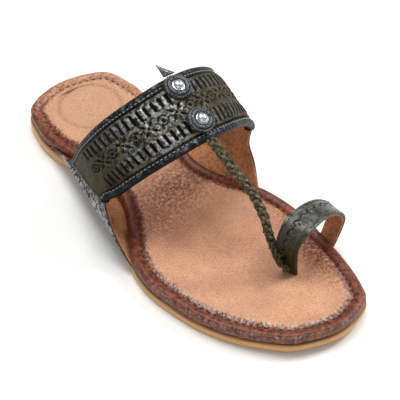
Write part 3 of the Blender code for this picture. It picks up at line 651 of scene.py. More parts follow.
class Surface:
    """Smooth surface through ribs; s counts ribs and w runs from rear to front."""

    def __init__(self, ribs):
        self.ribs = np.asarray(ribs)

    def at(self, s, w):
        """Points at s and w."""
        s, w = np.broadcast_arrays(np.asarray(s, dtype=float), np.asarray(w, dtype=float))
        columns = self.ribs.shape[1] - 1
        column = np.clip(np.floor(w * columns).astype(int), 0, columns - 1)
        share = (w * columns - column)[..., None]
        last = len(self.ribs) - 1
        index = np.clip(np.floor(s).astype(int), 0, last - 1)
        t = (s - index)[..., None]

        def rib(i):
            i = np.clip(i, 0, last)
            return self.ribs[i, column] * (1 - share) + self.ribs[i, column + 1] * share

        p1, p2 = rib(index), rib(index + 1)
        p0 = np.where((index == 0)[..., None], 2 * p1 - p2, rib(index - 1))
        p3 = np.where((index == last - 1)[..., None], 2 * p2 - p1, rib(index + 2))
        found = 0.5 * (
            2 * p1
            + (p2 - p0) * t
            + (2 * p0 - 5 * p1 + 4 * p2 - p3) * t * t
            + (3 * p1 - 3 * p2 + p3 - p0) * t * t * t
        )
        found[..., 2] = np.maximum(found[..., 2], outsole_top(found[..., 1]) + CLEARANCE)
        return found

    def normal(self, s, w):
        """Unit normals that point away from the foot."""
        along = self.at(s + TANGENT_STEP, w) - self.at(s - TANGENT_STEP, w)
        across = self.at(s, w + TANGENT_STEP) - self.at(s, w - TANGENT_STEP)
        found = np.cross(across, along)
        return found / np.linalg.norm(found, axis=-1, keepdims=True)

    def lift(self, s, w, height):
        """Points at a height above the surface."""
        height = np.asarray(height)[..., None]
        return self.at(s, w) + self.normal(s, w) * height

    def width(self, s):
        """Distance from rear to front edge."""
        return np.linalg.norm(self.at(s, 1.0) - self.at(s, 0.0), axis=-1)

    def travelled(self, low, high):
        """Fine values of s with the distance travelled along the surface's middle line."""
        s = np.linspace(low, high, TRAVEL_STEPS)
        return s, path_lengths(self.at(s, 0.5))


def rib_line(rib, half_spread, height):
    """Samples of a rib from its rear to its front point, bowed away from the foot's middle."""
    rear = np.array([rib.rear_out * half_spread, along_to_y(rib.rear_along), rib.rear_up * height])
    front = np.array([rib.front_out * half_spread, along_to_y(rib.front_along), rib.front_up * height])
    outward = (rear + front) / 2 - np.array([0.0, 0.0, BOW_CENTRE * height])
    outward[1] = 0.0
    outward /= np.linalg.norm(outward)
    share = RIB_SAMPLES[:, None]
    return rear + (front - rear) * share + outward * rib.bow * STRAP_BOW * 4 * share * (1 - share)


def seam_rib(side, ends, inset):
    """Samples of a rib that follows the sole's outline inside the seam."""
    y = along_to_y(ends[0] + (ends[1] - ends[0]) * RIB_SAMPLES)
    return np.stack([outline_x(side, inset, y), y, outsole_top(y) + CLEARANCE], axis=1)


def slot_rib(depth):
    """Samples of the toe loop's foot at a depth under the footbed."""
    rib = rib_line(LOOP_SLOT, BALL_WIDTH / 2, 0.0)
    rib[:, 2] = insole_height(rib[:, 1].mean(), RIM[-1].height) - depth
    return rib


STRAP = Surface(
    [seam_rib(1, LATERAL_WING, inset) for inset in (SEAM_TUCK, -OUTSOLE_LIP)]
    + [rib_line(rib, STRAP_SPREAD / 2, INSTEP_HEIGHT) for rib in STRAP_RIBS]
    + [seam_rib(-1, MEDIAL_WING, inset) for inset in (-OUTSOLE_LIP, SEAM_TUCK)]
)
LOOP = Surface(
    [slot_rib(SLOT_DEPTH), slot_rib(-FOOT_RISE)]
    + [rib_line(rib, BALL_WIDTH / 2, LOOP_HEIGHT) for rib in LOOP_RIBS]
    + [seam_rib(-1, LOOP_FOOT, inset) for inset in (-OUTSOLE_LIP, SEAM_TUCK)]
)


def skived(wall, s, last, free_start):
    """Wall thickness along s: thin where an end lies in the seam."""
    thin, full = SKIVED_RIBS
    start = 1.0 if free_start else smooth_step(s, thin, full)
    end = 1 - smooth_step(s, last - full, last - thin)
    return SKIVED_WALL + (wall - SKIVED_WALL) * np.minimum(start, end)


def soft_noise(x, y, cell, seed):
    """Smooth random numbers from 0 to 1 on a plane, the same on every run."""
    grid = np.random.default_rng(seed).random((NOISE_GRID, NOISE_GRID))
    gx, gy = np.asarray(x) / cell, np.asarray(y) / cell
    ix, iy = np.floor(gx).astype(int), np.floor(gy).astype(int)
    fx, fy = gx - ix, gy - iy
    fx, fy = fx * fx * (3 - 2 * fx), fy * fy * (3 - 2 * fy)

    def corner(a, b):
        return grid[(ix + a) % NOISE_GRID, (iy + b) % NOISE_GRID]

    low = corner(0, 0) * (1 - fx) + corner(1, 0) * fx
    high = corner(0, 1) * (1 - fx) + corner(1, 1) * fx
    return low * (1 - fy) + high * fy


def quads(index):
    """Faces between neighbouring rows and columns of vertex numbers."""
    corners = [index[:-1, :-1], index[:-1, 1:], index[1:, 1:], index[1:, :-1]]
    return np.stack(corners, axis=-1).reshape(-1, 4)


def closed_quads(index):
    """Faces between rows of vertex numbers that close round."""
    return quads(np.concatenate([index, index[:, :1]], axis=1))


def mesh_object(name, vertices, faces, finishes, slots=None, values=None, sharp=50):
    """Smooth-shaded object of a closed mesh, with a number for each vertex per named value."""
    mesh = bpy.data.meshes.new(name)
    mesh.from_pydata(np.asarray(vertices).tolist(), [], faces)
    for finish in finishes:
        mesh.materials.append(finish)
    if slots is not None:
        mesh.polygons.foreach_set("material_index", np.asarray(slots, dtype=np.int32))
    for key, numbers in (values or {}).items():
        layer = mesh.attributes.new(key, "FLOAT", "POINT")
        layer.data.foreach_set("value", np.asarray(numbers, dtype=np.float32).ravel())
    work = bmesh.new()
    work.from_mesh(mesh)
    bmesh.ops.recalc_face_normals(work, faces=work.faces)
    work.to_mesh(mesh)
    work.free()
    mesh.shade_smooth()
    mesh.set_sharp_from_angle(angle=math.radians(sharp))
    made = bpy.data.objects.new(name, mesh)
    bpy.context.scene.collection.objects.link(made)
    return made


def shell(name, outer, inner, finishes, values=None, sharp=50):
    """Leather wall between two grids of points: outer face, inner face and cut edges."""
    rows, columns = outer.shape[:2]
    size = rows * columns
    index = np.arange(size).reshape(rows, columns)
    edge = np.concatenate([index[0, :-1], index[:-1, -1], index[-1, :0:-1], index[:0:-1, 0]])
    after = np.roll(edge, -1)
    top = quads(index)
    under = quads(index)[:, ::-1] + size
    sides = np.stack([after, edge, edge + size, after + size], axis=1)
    slots = np.repeat([0, 1, 2], [len(top), len(under), len(sides)])
    doubled = {key: np.concatenate([v.ravel(), v.ravel()]) for key, v in (values or {}).items()}
    vertices = np.concatenate([outer.reshape(-1, 3), inner.reshape(-1, 3)])
    faces = np.concatenate([top, under, sides]).tolist()
    return mesh_object(name, vertices, faces, finishes, slots, doubled, sharp)


def tube(name, rings, finishes, values=None, sharp=50):
    """Closed body through rings of points, with a flat face at each end."""
    rows, columns = rings.shape[:2]
    index = np.arange(rows * columns).reshape(rows, columns)
    faces = closed_quads(index).tolist() + [index[0].tolist(), index[-1].tolist()]
    return mesh_object(name, rings.reshape(-1, 3), faces, finishes, None, values, sharp)


def dress(piece, slot, *nodes):
    """Let a piece move with the sandal and stand for its solids; the slot argument is not used."""
    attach(piece, "root")
    if nodes:
        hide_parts(*nodes)
    return piece


def feed(tree, node, inputs):
    """Set a node's inputs, each to a value or to another node's output."""
    for key, source in inputs.items():
        socket = node.inputs[key]
        if isinstance(source, bpy.types.NodeSocket):
            tree.links.new(source, socket)
        elif socket.type == "RGBA":
            socket.default_value = (*source, 1.0)
        else:
            socket.default_value = source


def add(tree, kind, inputs=None, out=0, **settings):
    """Add a node with its settings and inputs, and give back one of its outputs."""
    node = tree.nodes.new(kind)
    for name, setting in settings.items():
        setattr(node, name, setting)
    feed(tree, node, inputs or {})
    return node.outputs[out]


def start_material(name, *numbers):
    """New material: its tree, shader and object coordinates, and numbers kept on the mesh."""
    made = bpy.data.materials.new(name)
    made.use_nodes = True
    tree = made.node_tree
    place = add(tree, "ShaderNodeTexCoord", out="Object")
    kept = [add(tree, "ShaderNodeAttribute", out="Fac", attribute_name=key) for key in numbers]
    return made, tree, tree.nodes["Principled BSDF"], place, *kept


# The pores and fibres of real leather are 0.1 to 0.3 mm wide, too fine for the render. The
# patterns under 1.5 mm that stand for them are drawn coarser, as wide as they need to show.
def make_footbed_leather(c):
    """Vegetable-tanned calf, buffed: fine pores, clouded tan, a burnished and waxed rim, painted shade under
    the strap and a painted highlight on the rim's ridge.
    """
    made, tree, shader, place, rim, wax, dark, heel = start_material(
        "footbed_vegetable_tanned_calf", "rim", "wax", "burnish_and_shade", "heel"
    )
    blotch = add(tree, NOISE, {"Vector": place, "Scale": 1 / (22 * MM), "Detail": 3.0})
    clouds = add(tree, RANGE, {"Value": blotch, "From Min": 0.35, "From Max": 0.7})
    base = add(tree, MIX, {0: clouds, 6: c.footbed, 7: c.footbed_shade}, 2, data_type="RGBA")
    pale = add(tree, RANGE, {"Value": heel, "To Max": 0.75})
    base = add(tree, MIX, {0: pale, 6: base, 7: c.heel_tint}, 2, data_type="RGBA")
    grain = add(tree, NOISE, {"Vector": place, "Scale": 1 / (0.9 * MM), "Detail": 4.0, "Roughness": 0.70})
    pores = add(tree, RANGE, {"Value": grain, "From Min": 0.47, "From Max": 0.60, "To Max": 0.40})
    base = add(tree, MIX, {0: pores, 6: base, 7: c.burnish_and_shade}, 2, data_type="RGBA")
    patch_noise = add(tree, NOISE, {"Vector": place, "Scale": 1 / (1.9 * MM), "Detail": 5.0, "Roughness": 0.75})
    smear = add(tree, RANGE, {"Value": patch_noise, "From Min": 0.40, "From Max": 0.56})
    patchy = add(tree, RANGE, {"Value": smear, "To Min": 0.02, "To Max": 1.25})
    # Darker where burnished and where painted shade lies under the strap and by the toe loop, speckled.
    darkened = add(tree, MATH, {0: dark, 1: patchy}, operation="MULTIPLY")
    base = add(tree, MIX, {0: darkened, 6: base, 7: c.burnish_and_shade}, 2, data_type="RGBA")
    patches = add(tree, NOISE, {"Vector": place, "Scale": 1 / (3 * MM), "Detail": 5.0, "Roughness": 0.7})
    mottle = add(tree, RANGE, {"Value": patches, "From Min": 0.40, "From Max": 0.66})
    wear_and_highlight = add(tree, MIX, {0: mottle, 6: c.rim, 7: c.rim_light}, 2, data_type="RGBA")
    fray = add(tree, RANGE, {"Value": smear, "To Min": -0.22, "To Max": 0.22})
    ragged = add(tree, MATH, {0: rim, 1: fray}, operation="ADD")
    stained = add(tree, RANGE, {"Value": ragged, "From Min": 0.25, "From Max": 0.75})
    base = add(tree, MIX, {0: stained, 6: base, 7: wear_and_highlight}, 2, data_type="RGBA")
    crumbs = add(tree, NOISE, {"Vector": place, "Scale": 1 / (1.6 * MM), "Detail": 3.0, "Roughness": 0.6})
    flecks = add(tree, RANGE, {"Value": crumbs, "From Min": 0.42, "From Max": 0.60})
    # Pale of the waxed gathers and the painted highlight on the rim's outer ridge.
    waxed = add(tree, MATH, {0: wax, 1: flecks}, operation="MULTIPLY")
    base = add(tree, MIX, {0: waxed, 6: base, 7: c.wax}, 2, data_type="RGBA")
    rough = add(tree, RANGE, {"Value": rim, "To Min": 0.55, "To Max": 0.40})
    pits = add(tree, BUMP, {"Height": grain, "Strength": 0.30, "Distance": 0.4 * MM})
    waves = add(tree, NOISE, {"Vector": place, "Scale": 1 / (4.2 * MM), "Detail": 3.0})
    folds = add(tree, BUMP, {"Height": waves, "Strength": 0.25, "Distance": 0.8 * MM, "Normal": pits})
    feed(tree, shader, {"Base Color": base, "Roughness": rough, "Normal": folds})
    feed(tree, shader, {"Specular IOR Level": 0.38, "IOR": 1.46})
    return made


def make_sole_leather(c):
    """Bend leather cut and waxed at the edge: honey below, stained dark towards the top."""
    made, tree, shader, place, height, under = start_material(
        "outsole_waxed_bend_leather", "height", "under"
    )
    pressed = add(tree, MAPPING, {"Vector": place, "Scale": (0.25, 0.25, 6.0)})
    layers = add(tree, NOISE, {"Vector": pressed, "Scale": 1 / (4 * MM), "Detail": 3.0, "Roughness": 0.6})
    drift = add(tree, RANGE, {
        "Value": layers, "From Min": 0.3, "From Max": 0.7, "To Min": -0.14, "To Max": 0.14,
    })
    level = add(tree, MATH, {0: height, 1: drift}, operation="ADD")
    stain = add(tree, RANGE, {"Value": level, "From Min": 0.66, "From Max": 1.10})
    side = add(tree, MIX, {0: stain, 6: c.sole_honey, 7: c.sole_dark}, 2, data_type="RGBA")
    drawn = add(tree, MAPPING, {"Vector": place, "Scale": (1.0, 0.3, 1.0)})
    strokes = add(tree, NOISE, {"Vector": drawn, "Scale": 1 / (6 * MM), "Detail": 5.0, "Roughness": 0.65})
    scuffs = add(tree, RANGE, {"Value": strokes, "From Min": 0.48, "From Max": 0.66, "To Max": 0.55})
    bottom = add(tree, MIX, {0: scuffs, 6: c.sole_honey, 7: c.burnish_and_shade}, 2, data_type="RGBA")
    base = add(tree, MIX, {0: under, 6: side, 7: bottom}, 2, data_type="RGBA")
    rough = add(tree, RANGE, {
        "Value": layers, "From Min": 0.3, "From Max": 0.7, "To Min": 0.34, "To Max": 0.50,
    })
    lines = add(tree, BUMP, {"Height": layers, "Strength": 0.22, "Distance": 0.5 * MM})
    hairs = add(tree, NOISE, {"Vector": place, "Scale": 1 / (0.9 * MM), "Detail": 4.0})
    fibres = add(tree, BUMP, {"Height": hairs, "Strength": 0.15, "Distance": 0.3 * MM, "Normal": lines})
    feed(tree, shader, {"Base Color": base, "Roughness": rough, "Normal": fibres})
    feed(tree, shader, {"Coat Weight": 0.06, "Coat Roughness": 0.30, "IOR": 1.46})
    return made


def make_strap_leather(c):
    """Antiqued full-grain leather: olive over black, rubbed silver with painted highlights, cuts painted
    near black as painted shade.
    """
    made, tree, shader, place, rub_and_highlight, cut = start_material("strap_antiqued_leather", "rub_and_highlight", "cut")
    blotch = add(tree, NOISE, {"Vector": place, "Scale": 1 / (9 * MM), "Detail": 4.0, "Roughness": 0.6})
    clouds = add(tree, RANGE, {"Value": blotch, "From Min": 0.36, "From Max": 0.66})
    base = add(tree, MIX, {0: clouds, 6: c.olive, 7: c.strap_black}, 2, data_type="RGBA")
    speck = add(tree, NOISE, {"Vector": place, "Scale": 1 / (1.3 * MM), "Detail": 4.0, "Roughness": 0.7})
    spots = add(tree, RANGE, {"Value": speck, "From Min": 0.50, "From Max": 0.62, "To Max": 0.5})
    base = add(tree, MIX, {0: spots, 6: base, 7: c.strap_black}, 2, data_type="RGBA")
    patch_noise = add(tree, NOISE, {"Vector": place, "Scale": 1 / (2.4 * MM), "Detail": 5.0, "Roughness": 0.7})
    streak = add(tree, RANGE, {"Value": patch_noise, "From Min": 0.44, "From Max": 0.58})
    # Silver where the leather is rubbed and where a painted highlight falls.
    silver = add(tree, MATH, {0: rub_and_highlight, 1: streak}, operation="MULTIPLY")
    base = add(tree, MIX, {0: silver, 6: base, 7: c.silver}, 2, data_type="RGBA")
    # Cuts painted near black: painted shade in the slits and grooves, with the dark backing that shows
    # through the slits.
    base = add(tree, MIX, {0: cut, 6: base, 7: linear("#0b0a08")}, 2, data_type="RGBA")
    rough = add(tree, RANGE, {"Value": silver, "To Min": 0.52, "To Max": 0.26})
    metal = add(tree, RANGE, {"Value": silver, "To Max": 0.55})
    grain = add(tree, BUMP, {"Height": speck, "Strength": 0.45, "Distance": 0.5 * MM})
    waves = add(tree, NOISE, {"Vector": place, "Scale": 1 / (5 * MM), "Detail": 3.0})
    folds = add(tree, BUMP, {"Height": waves, "Strength": 0.30, "Distance": 1 * MM, "Normal": grain})
    feed(tree, shader, {"Base Color": base, "Roughness": rough, "Metallic": metal, "Normal": folds})
    feed(tree, shader, {"Specular IOR Level": 0.13, "IOR": 1.46})
    return made


def make_binding_leather(c):
    """Glazed kid folded over the edge: blue-black, with a patchy grey painted highlight along the roll's
    ridge.
    """
    made, tree, shader, place, rub_and_highlight = start_material("binding_glazed_kid", "rub_and_highlight")
    patch_noise = add(tree, NOISE, {"Vector": place, "Scale": 1 / (2.8 * MM), "Detail": 5.0, "Roughness": 0.7})
    highlight_patches = add(tree, RANGE, {"Value": patch_noise, "From Min": 0.50, "From Max": 0.68})
    wear_and_highlight = add(tree, MATH, {0: rub_and_highlight, 1: highlight_patches}, operation="MULTIPLY")
    base = add(tree, MIX, {0: wear_and_highlight, 6: c.binding, 7: c.binding_highlight}, 2, data_type="RGBA")
    grain = add(tree, NOISE, {"Vector": place, "Scale": 1 / (1 * MM), "Detail": 4.0, "Roughness": 0.6})
    rough = add(tree, RANGE, {
        "Value": grain, "From Min": 0.3, "From Max": 0.7, "To Min": 0.34, "To Max": 0.54,
    })
    pits = add(tree, BUMP, {"Height": grain, "Strength": 0.45, "Distance": 0.4 * MM})
    feed(tree, shader, {"Base Color": base, "Roughness": rough, "Normal": pits})
    feed(tree, shader, {"Specular IOR Level": 0.14, "IOR": 1.48})
    return made


def make_lining_leather(c):
    """Unlined flesh side, dyed orange-brown: matt, fibrous, with dark specks."""
    made, tree, shader, place = start_material("lining_dyed_split")
    spots = add(tree, NOISE, {"Vector": place, "Scale": 1 / (1.6 * MM), "Detail": 5.0, "Roughness": 0.7})
    specks = add(tree, RANGE, {"Value": spots, "From Min": 0.46, "From Max": 0.64, "To Max": 0.75})
    base = add(tree, MIX, {0: specks, 6: c.lining, 7: c.lining_spot}, 2, data_type="RGBA")
    blotch = add(tree, NOISE, {"Vector": place, "Scale": 1 / (10 * MM), "Detail": 3.0})
    clouds = add(tree, RANGE, {"Value": blotch, "From Min": 0.35, "From Max": 0.7, "To Max": 0.45})
    base = add(tree, MIX, {0: clouds, 6: base, 7: c.lining_spot}, 2, data_type="RGBA")
    hairs = add(tree, NOISE, {"Vector": place, "Scale": 1 / (0.7 * MM), "Detail": 4.0, "Roughness": 0.7})
    nap = add(tree, BUMP, {"Height": hairs, "Strength": 0.45, "Distance": 0.4 * MM})
    feed(tree, shader, {"Base Color": base, "Roughness": 0.74, "Normal": nap})
    feed(tree, shader, {"Sheen Weight": 0.15, "Sheen Roughness": 0.5})
    return made


def make_loop_leather(c):
    """Smooth antiqued leather of the toe loop: olive grey, silver bands of painted highlight, darker at its
    foot, cuts painted dark as painted shade.
    """
    made, tree, shader, place, rub_and_highlight, cut, foot = start_material(
        "loop_antiqued_leather", "rub_and_highlight", "cut", "foot"
    )
    blotch = add(tree, NOISE, {"Vector": place, "Scale": 1 / (7 * MM), "Detail": 4.0})
    clouds = add(tree, RANGE, {"Value": blotch, "From Min": 0.36, "From Max": 0.68, "To Max": 0.8})
    base = add(tree, MIX, {0: clouds, 6: c.loop, 7: c.strap_black}, 2, data_type="RGBA")
    patch = add(tree, NOISE, {"Vector": place, "Scale": 1 / (5 * MM), "Detail": 3.0})
    patches = add(tree, RANGE, {"Value": patch, "From Min": 0.3, "From Max": 0.6})
    aged = add(tree, MATH, {0: foot, 1: patches}, operation="MULTIPLY")
    base = add(tree, MIX, {0: aged, 6: base, 7: c.loop_patina}, 2, data_type="RGBA")
    patch_noise = add(tree, NOISE, {"Vector": place, "Scale": 1 / (3 * MM), "Detail": 5.0, "Roughness": 0.6})
    streak = add(tree, RANGE, {"Value": patch_noise, "From Min": 0.36, "From Max": 0.66})
    silver = add(tree, MATH, {0: rub_and_highlight, 1: streak}, operation="MULTIPLY")
    base = add(tree, MIX, {0: silver, 6: base, 7: c.silver}, 2, data_type="RGBA")
    # Cuts painted near black: painted shade in the punched grooves and along the stitch line.
    base = add(tree, MIX, {0: cut, 6: base, 7: linear("#0c0b09")}, 2, data_type="RGBA")
    grain = add(tree, NOISE, {"Vector": place, "Scale": 1 / (1 * MM), "Detail": 4.0, "Roughness": 0.6})
    rough = add(tree, RANGE, {
        "Value": grain, "From Min": 0.3, "From Max": 0.7, "To Min": 0.20, "To Max": 0.36,
    })
    metal = add(tree, RANGE, {"Value": silver, "To Max": 0.45})
    pits = add(tree, BUMP, {"Height": grain, "Strength": 0.25, "Distance": 0.4 * MM})
    feed(tree, shader, {"Base Color": base, "Roughness": rough, "Metallic": metal, "Normal": pits})
    feed(tree, shader, {"Specular IOR Level": 0.36, "IOR": 1.46})
    return made


def make_plait_leather(c):
    """Narrow cut laces: olive-black grain side with tan flecks at the rubbed edges."""
    made, tree, shader, place = start_material("plait_cut_lace")
    blotch = add(tree, NOISE, {"Vector": place, "Scale": 1 / (4.5 * MM), "Detail": 4.0})
    clouds = add(tree, RANGE, {"Value": blotch, "From Min": 0.38, "From Max": 0.62})
    base = add(tree, MIX, {0: clouds, 6: c.olive, 7: c.strap_black}, 2, data_type="RGBA")
    patch_noise = add(tree, NOISE, {"Vector": place, "Scale": 1 / (1.9 * MM), "Detail": 4.0, "Roughness": 0.7})
    flecks = add(tree, RANGE, {"Value": patch_noise, "From Min": 0.54, "From Max": 0.64})
    base = add(tree, MIX, {0: flecks, 6: base, 7: c.fleck}, 2, data_type="RGBA")
    grain = add(tree, NOISE, {"Vector": place, "Scale": 1 / (0.9 * MM), "Detail": 4.0})
    pits = add(tree, BUMP, {"Height": grain, "Strength": 0.3, "Distance": 0.4 * MM})
    feed(tree, shader, {"Base Color": base, "Roughness": 0.44, "Normal": pits, "Specular IOR Level": 0.35})
    return made


def make_rosette_leather(c):
    """Knurled black leather disc, pressed: a patchy grey painted highlight on its ring and knurled edge."""
    made, tree, shader, place, rub_and_highlight = start_material("rosette_pressed_leather", "rub_and_highlight")
    patch_noise = add(tree, NOISE, {"Vector": place, "Scale": 1 / (1.2 * MM), "Detail": 4.0, "Roughness": 0.7})
    highlight_patches = add(tree, RANGE, {"Value": patch_noise, "From Min": 0.42, "From Max": 0.62})
    wear_and_highlight = add(tree, MATH, {0: rub_and_highlight, 1: highlight_patches}, operation="MULTIPLY")
    base = add(tree, MIX, {0: wear_and_highlight, 6: linear("#0d0d0f"), 7: c.binding_highlight}, 2, data_type="RGBA")
    grain = add(tree, NOISE, {"Vector": place, "Scale": 1 / (0.8 * MM), "Detail": 4.0})
    pits = add(tree, BUMP, {"Height": grain, "Strength": 0.4, "Distance": 0.4 * MM})
    feed(tree, shader, {"Base Color": base, "Roughness": 0.34, "Normal": pits, "Specular IOR Level": 0.40})
    return made


def make_thread(name, tint):
    """Waxed linen thread: round, dull gloss; its fine twist is drawn coarser, so that it shows."""
    made, tree, shader, place = start_material(name)
    twist = add(tree, NOISE, {"Vector": place, "Scale": 1 / (0.6 * MM)})
    shade = add(tree, RANGE, {"Value": twist, "From Min": 0.3, "From Max": 0.7, "To Max": 0.4})
    base = add(tree, MIX, {0: shade, 6: tint, 7: linear("#14110f")}, 2, data_type="RGBA")
    ridges = add(tree, BUMP, {"Height": twist, "Strength": 0.3, "Distance": 0.2 * MM})
    feed(tree, shader, {"Base Color": base, "Roughness": 0.42, "Normal": ridges})
    return made


def make_nickel(c):
    """Nickel-plated brass, tumbled: bright, with faint handling marks."""
    made, tree, shader, place = start_material("nickel_plated_brass")
    marks = add(tree, NOISE, {"Vector": place, "Scale": 1 / (1.4 * MM), "Detail": 4.0, "Roughness": 0.7})
    rough = add(tree, RANGE, {
        "Value": marks, "From Min": 0.35, "From Max": 0.7, "To Min": 0.20, "To Max": 0.32,
    })
    dents = add(tree, BUMP, {"Height": marks, "Strength": 0.03, "Distance": 0.3 * MM})
    feed(tree, shader, {"Base Color": c.nickel, "Metallic": 1.0, "Roughness": rough, "Normal": dents})
    return made


def make_edge_paint():
    """Acrylic edge paint on cut leather: dark brown, slightly lumpy."""
    made, tree, shader, place = start_material("edge_paint")
    lumps = add(tree, NOISE, {"Vector": place, "Scale": 1 / (1.2 * MM), "Detail": 3.0})
    thin = add(tree, RANGE, {"Value": lumps, "From Min": 0.4, "From Max": 0.7})
    base = add(tree, MIX, {0: thin, 6: linear("#1d1611"), 7: linear("#3c2c20")}, 2, data_type="RGBA")
    swells = add(tree, BUMP, {"Height": lumps, "Strength": 0.4, "Distance": 0.4 * MM})
    feed(tree, shader, {"Base Color": base, "Roughness": 0.40, "Normal": swells})
    return made


def make_floor(c):
    """Painted studio board: pale and matt."""
    made, tree, shader, place = start_material("studio_board")
    cloud = add(tree, NOISE, {"Vector": place, "Scale": 1 / (120 * MM)})
    rough = add(tree, RANGE, {
        "Value": cloud, "From Min": 0.3, "From Max": 0.7, "To Min": 0.60, "To Max": 0.66,
    })
    feed(tree, shader, {"Base Color": c.floor, "Roughness": rough})
    return made


def material(name):
    """One of the sandal's materials, made once."""
    c = bpy.context.scene.sandal_colours
    makers = {
        "footbed_vegetable_tanned_calf": lambda: make_footbed_leather(c),
        "outsole_waxed_bend_leather": lambda: make_sole_leather(c),
        "strap_antiqued_leather": lambda: make_strap_leather(c),
        "binding_glazed_kid": lambda: make_binding_leather(c),
        "lining_dyed_split": lambda: make_lining_leather(c),
        "loop_antiqued_leather": lambda: make_loop_leather(c),
        "plait_cut_lace": lambda: make_plait_leather(c),
        "rosette_pressed_leather": lambda: make_rosette_leather(c),
        "thread_black": lambda: make_thread("thread_black", c.thread_dark),
        "thread_grey": lambda: make_thread("thread_grey", c.thread_pale),
        "nickel_plated_brass": lambda: make_nickel(c),
        "edge_paint": make_edge_paint,
        "studio_board": lambda: make_floor(c),
    }
    return bpy.data.materials.get(name) or makers[name]()


def cap_points(ring, columns, height):
    """Inner points of the ribs across a ring, lifted to height(across, x, y)."""
    half = len(ring) // 2
    lateral, medial = ring[1:half], ring[:half:-1]
    across = (np.arange(1, columns) / columns)[None, :, None]
    plan = lateral[:, None, :2] * (1 - across) + medial[:, None, :2] * across
    z = height(across[..., 0], plan[..., 0], plan[..., 1])
    return np.concatenate([plan, z[..., None]], axis=-1)


def cap_faces(start, size, first_inner, columns):
    """Faces across a ring of size points from start, through its inner points."""
    half = size // 2
    ribs = np.empty((half - 1, columns + 1), dtype=int)
    ribs[:, 0] = start + np.arange(1, half)
    ribs[:, -1] = start + size - np.arange(1, half)
    if columns > 1:
        ribs[:, 1:-1] = first_inner + np.arange((half - 1) * (columns - 1)).reshape(half - 1, -1)
    faces = quads(ribs).tolist()
    for column in range(columns):
        faces.append([start, int(ribs[0, column + 1]), int(ribs[0, column])])
        faces.append([start + half, int(ribs[-1, column]), int(ribs[-1, column + 1])])
    return faces


def build_outsole():
    """Outsole with a softened tread edge, a slightly bellied side and a stained top edge."""
    def under(y):
        return toe_rise(y) + arch_lift(y)

    rings, heights = [], []
    for inset, share in OUTSOLE_EDGE:
        ring = outline_ring(inset * MM - OUTSOLE_LIP)
        y = ring[:, 1]
        low = under(y)
        z = low + (outsole_top(y) - low) * share
        rings.append(np.column_stack([ring, z]))
        heights.append(np.full(len(ring), share))
    size = len(rings[0])
    index = np.arange(size * len(rings)).reshape(len(rings), size)
    faces = closed_quads(index).tolist()
    inner = cap_points(rings[0], UNDERSIDE_COLUMNS, lambda across, x, y: under(y) + 0 * across)
    first = size * len(rings)
    faces += cap_faces(0, size, first, UNDERSIDE_COLUMNS)
    faces += cap_faces(first - size, size, 0, 1)
    vertices = np.concatenate(rings + [inner.reshape(-1, 3)])
    height = np.concatenate(heights + [np.zeros(inner.shape[0] * inner.shape[1])])
    values = {"height": height, "under": (height == 0.0).astype(float)}
    finishes = [material("outsole_waxed_bend_leather")]
    sole = mesh_object("outsole_leather", vertices, faces, finishes, None, values)
    return dress(sole, "sole_leather", "outsole")


def gather(ring, name):
    """Strength along the rim of one of the gathers' columns, for each ring point."""
    alongs = [row.along for row in GATHERS]
    along = y_to_along(ring[:, 1])
    lateral = np.interp(along, alongs, [getattr(row, "lateral_" + name) for row in GATHERS])
    medial = np.interp(along, alongs, [getattr(row, "medial_" + name) for row in GATHERS])
    count = len(ring)
    turn = np.arange(count) / count
    share = smooth_step(np.abs(turn - 0.5), 0.0, END_BLEND)
    share = share * smooth_step(0.5 - np.abs(turn - 0.5), 0.0, END_BLEND)
    side = 0.5 + 0.5 * np.where(turn < 0.5, 1.0, -1.0) * share
    return lateral * side + medial * (1 - side)


def puckers(travelled, whole, pitch):
    """Uneven gathers along the rim, from 0 in a trough to 1 on a crest."""
    count = round(whole / pitch)
    turn = 2 * math.pi * travelled / whole
    phase = count * turn + 1.1 * np.sin(11 * turn) + 0.8 * np.sin(23 * turn + 1.0)
    crest = 0.5 + 0.5 * np.cos(phase)
    uneven = 0.75 + 0.25 * np.sin(17 * turn + 0.6) * np.sin(29 * turn)
    return crest * uneven


def footbed_burnish_and_shade(x, y):
    """How dark the footbed is painted at plan points: burnish, with painted shade under the strap and by the
    toe loop.
    """
    total = np.zeros_like(x)
    for spot in BURNISHED_AND_SHADED:
        dx = (x - spot.out * BALL_WIDTH / 2) / (spot.radius_x * MM)
        dy = (y - along_to_y(spot.along)) / (spot.radius_y * MM)
        total += spot.strength * np.exp(-(dx * dx + dy * dy))
    return np.clip(total, 0.0, 1.0)


def pad_offset(x, y):
    """Distance in metres of plan points from the heel pad's oval line."""
    dx, dy = (x - PAD_CENTRE[0]) / PAD_RADII[0], (y - PAD_CENTRE[1]) / PAD_RADII[1]
    return (np.hypot(dx, dy) - 1) * (PAD_RADII[0] + PAD_RADII[1]) / 2


def seam_closed(ring):
    """1 where the insole's edge lies down on the outsole, 0 where a strap is tucked in."""
    along = y_to_along(ring[:, 1])
    lateral = np.arange(len(ring)) < len(ring) / 2
    opened = np.zeros(len(ring))
    for side, (low, high) in ((True, LATERAL_WING), (False, MEDIAL_WING), (False, LOOP_FOOT)):
        reach = within(np.abs(along - (low + high) / 2), (high - low) / 2 + SEAM_EASE, SEAM_EASE)
        opened = np.maximum(opened, reach * (lateral == side))
    return 1 - opened


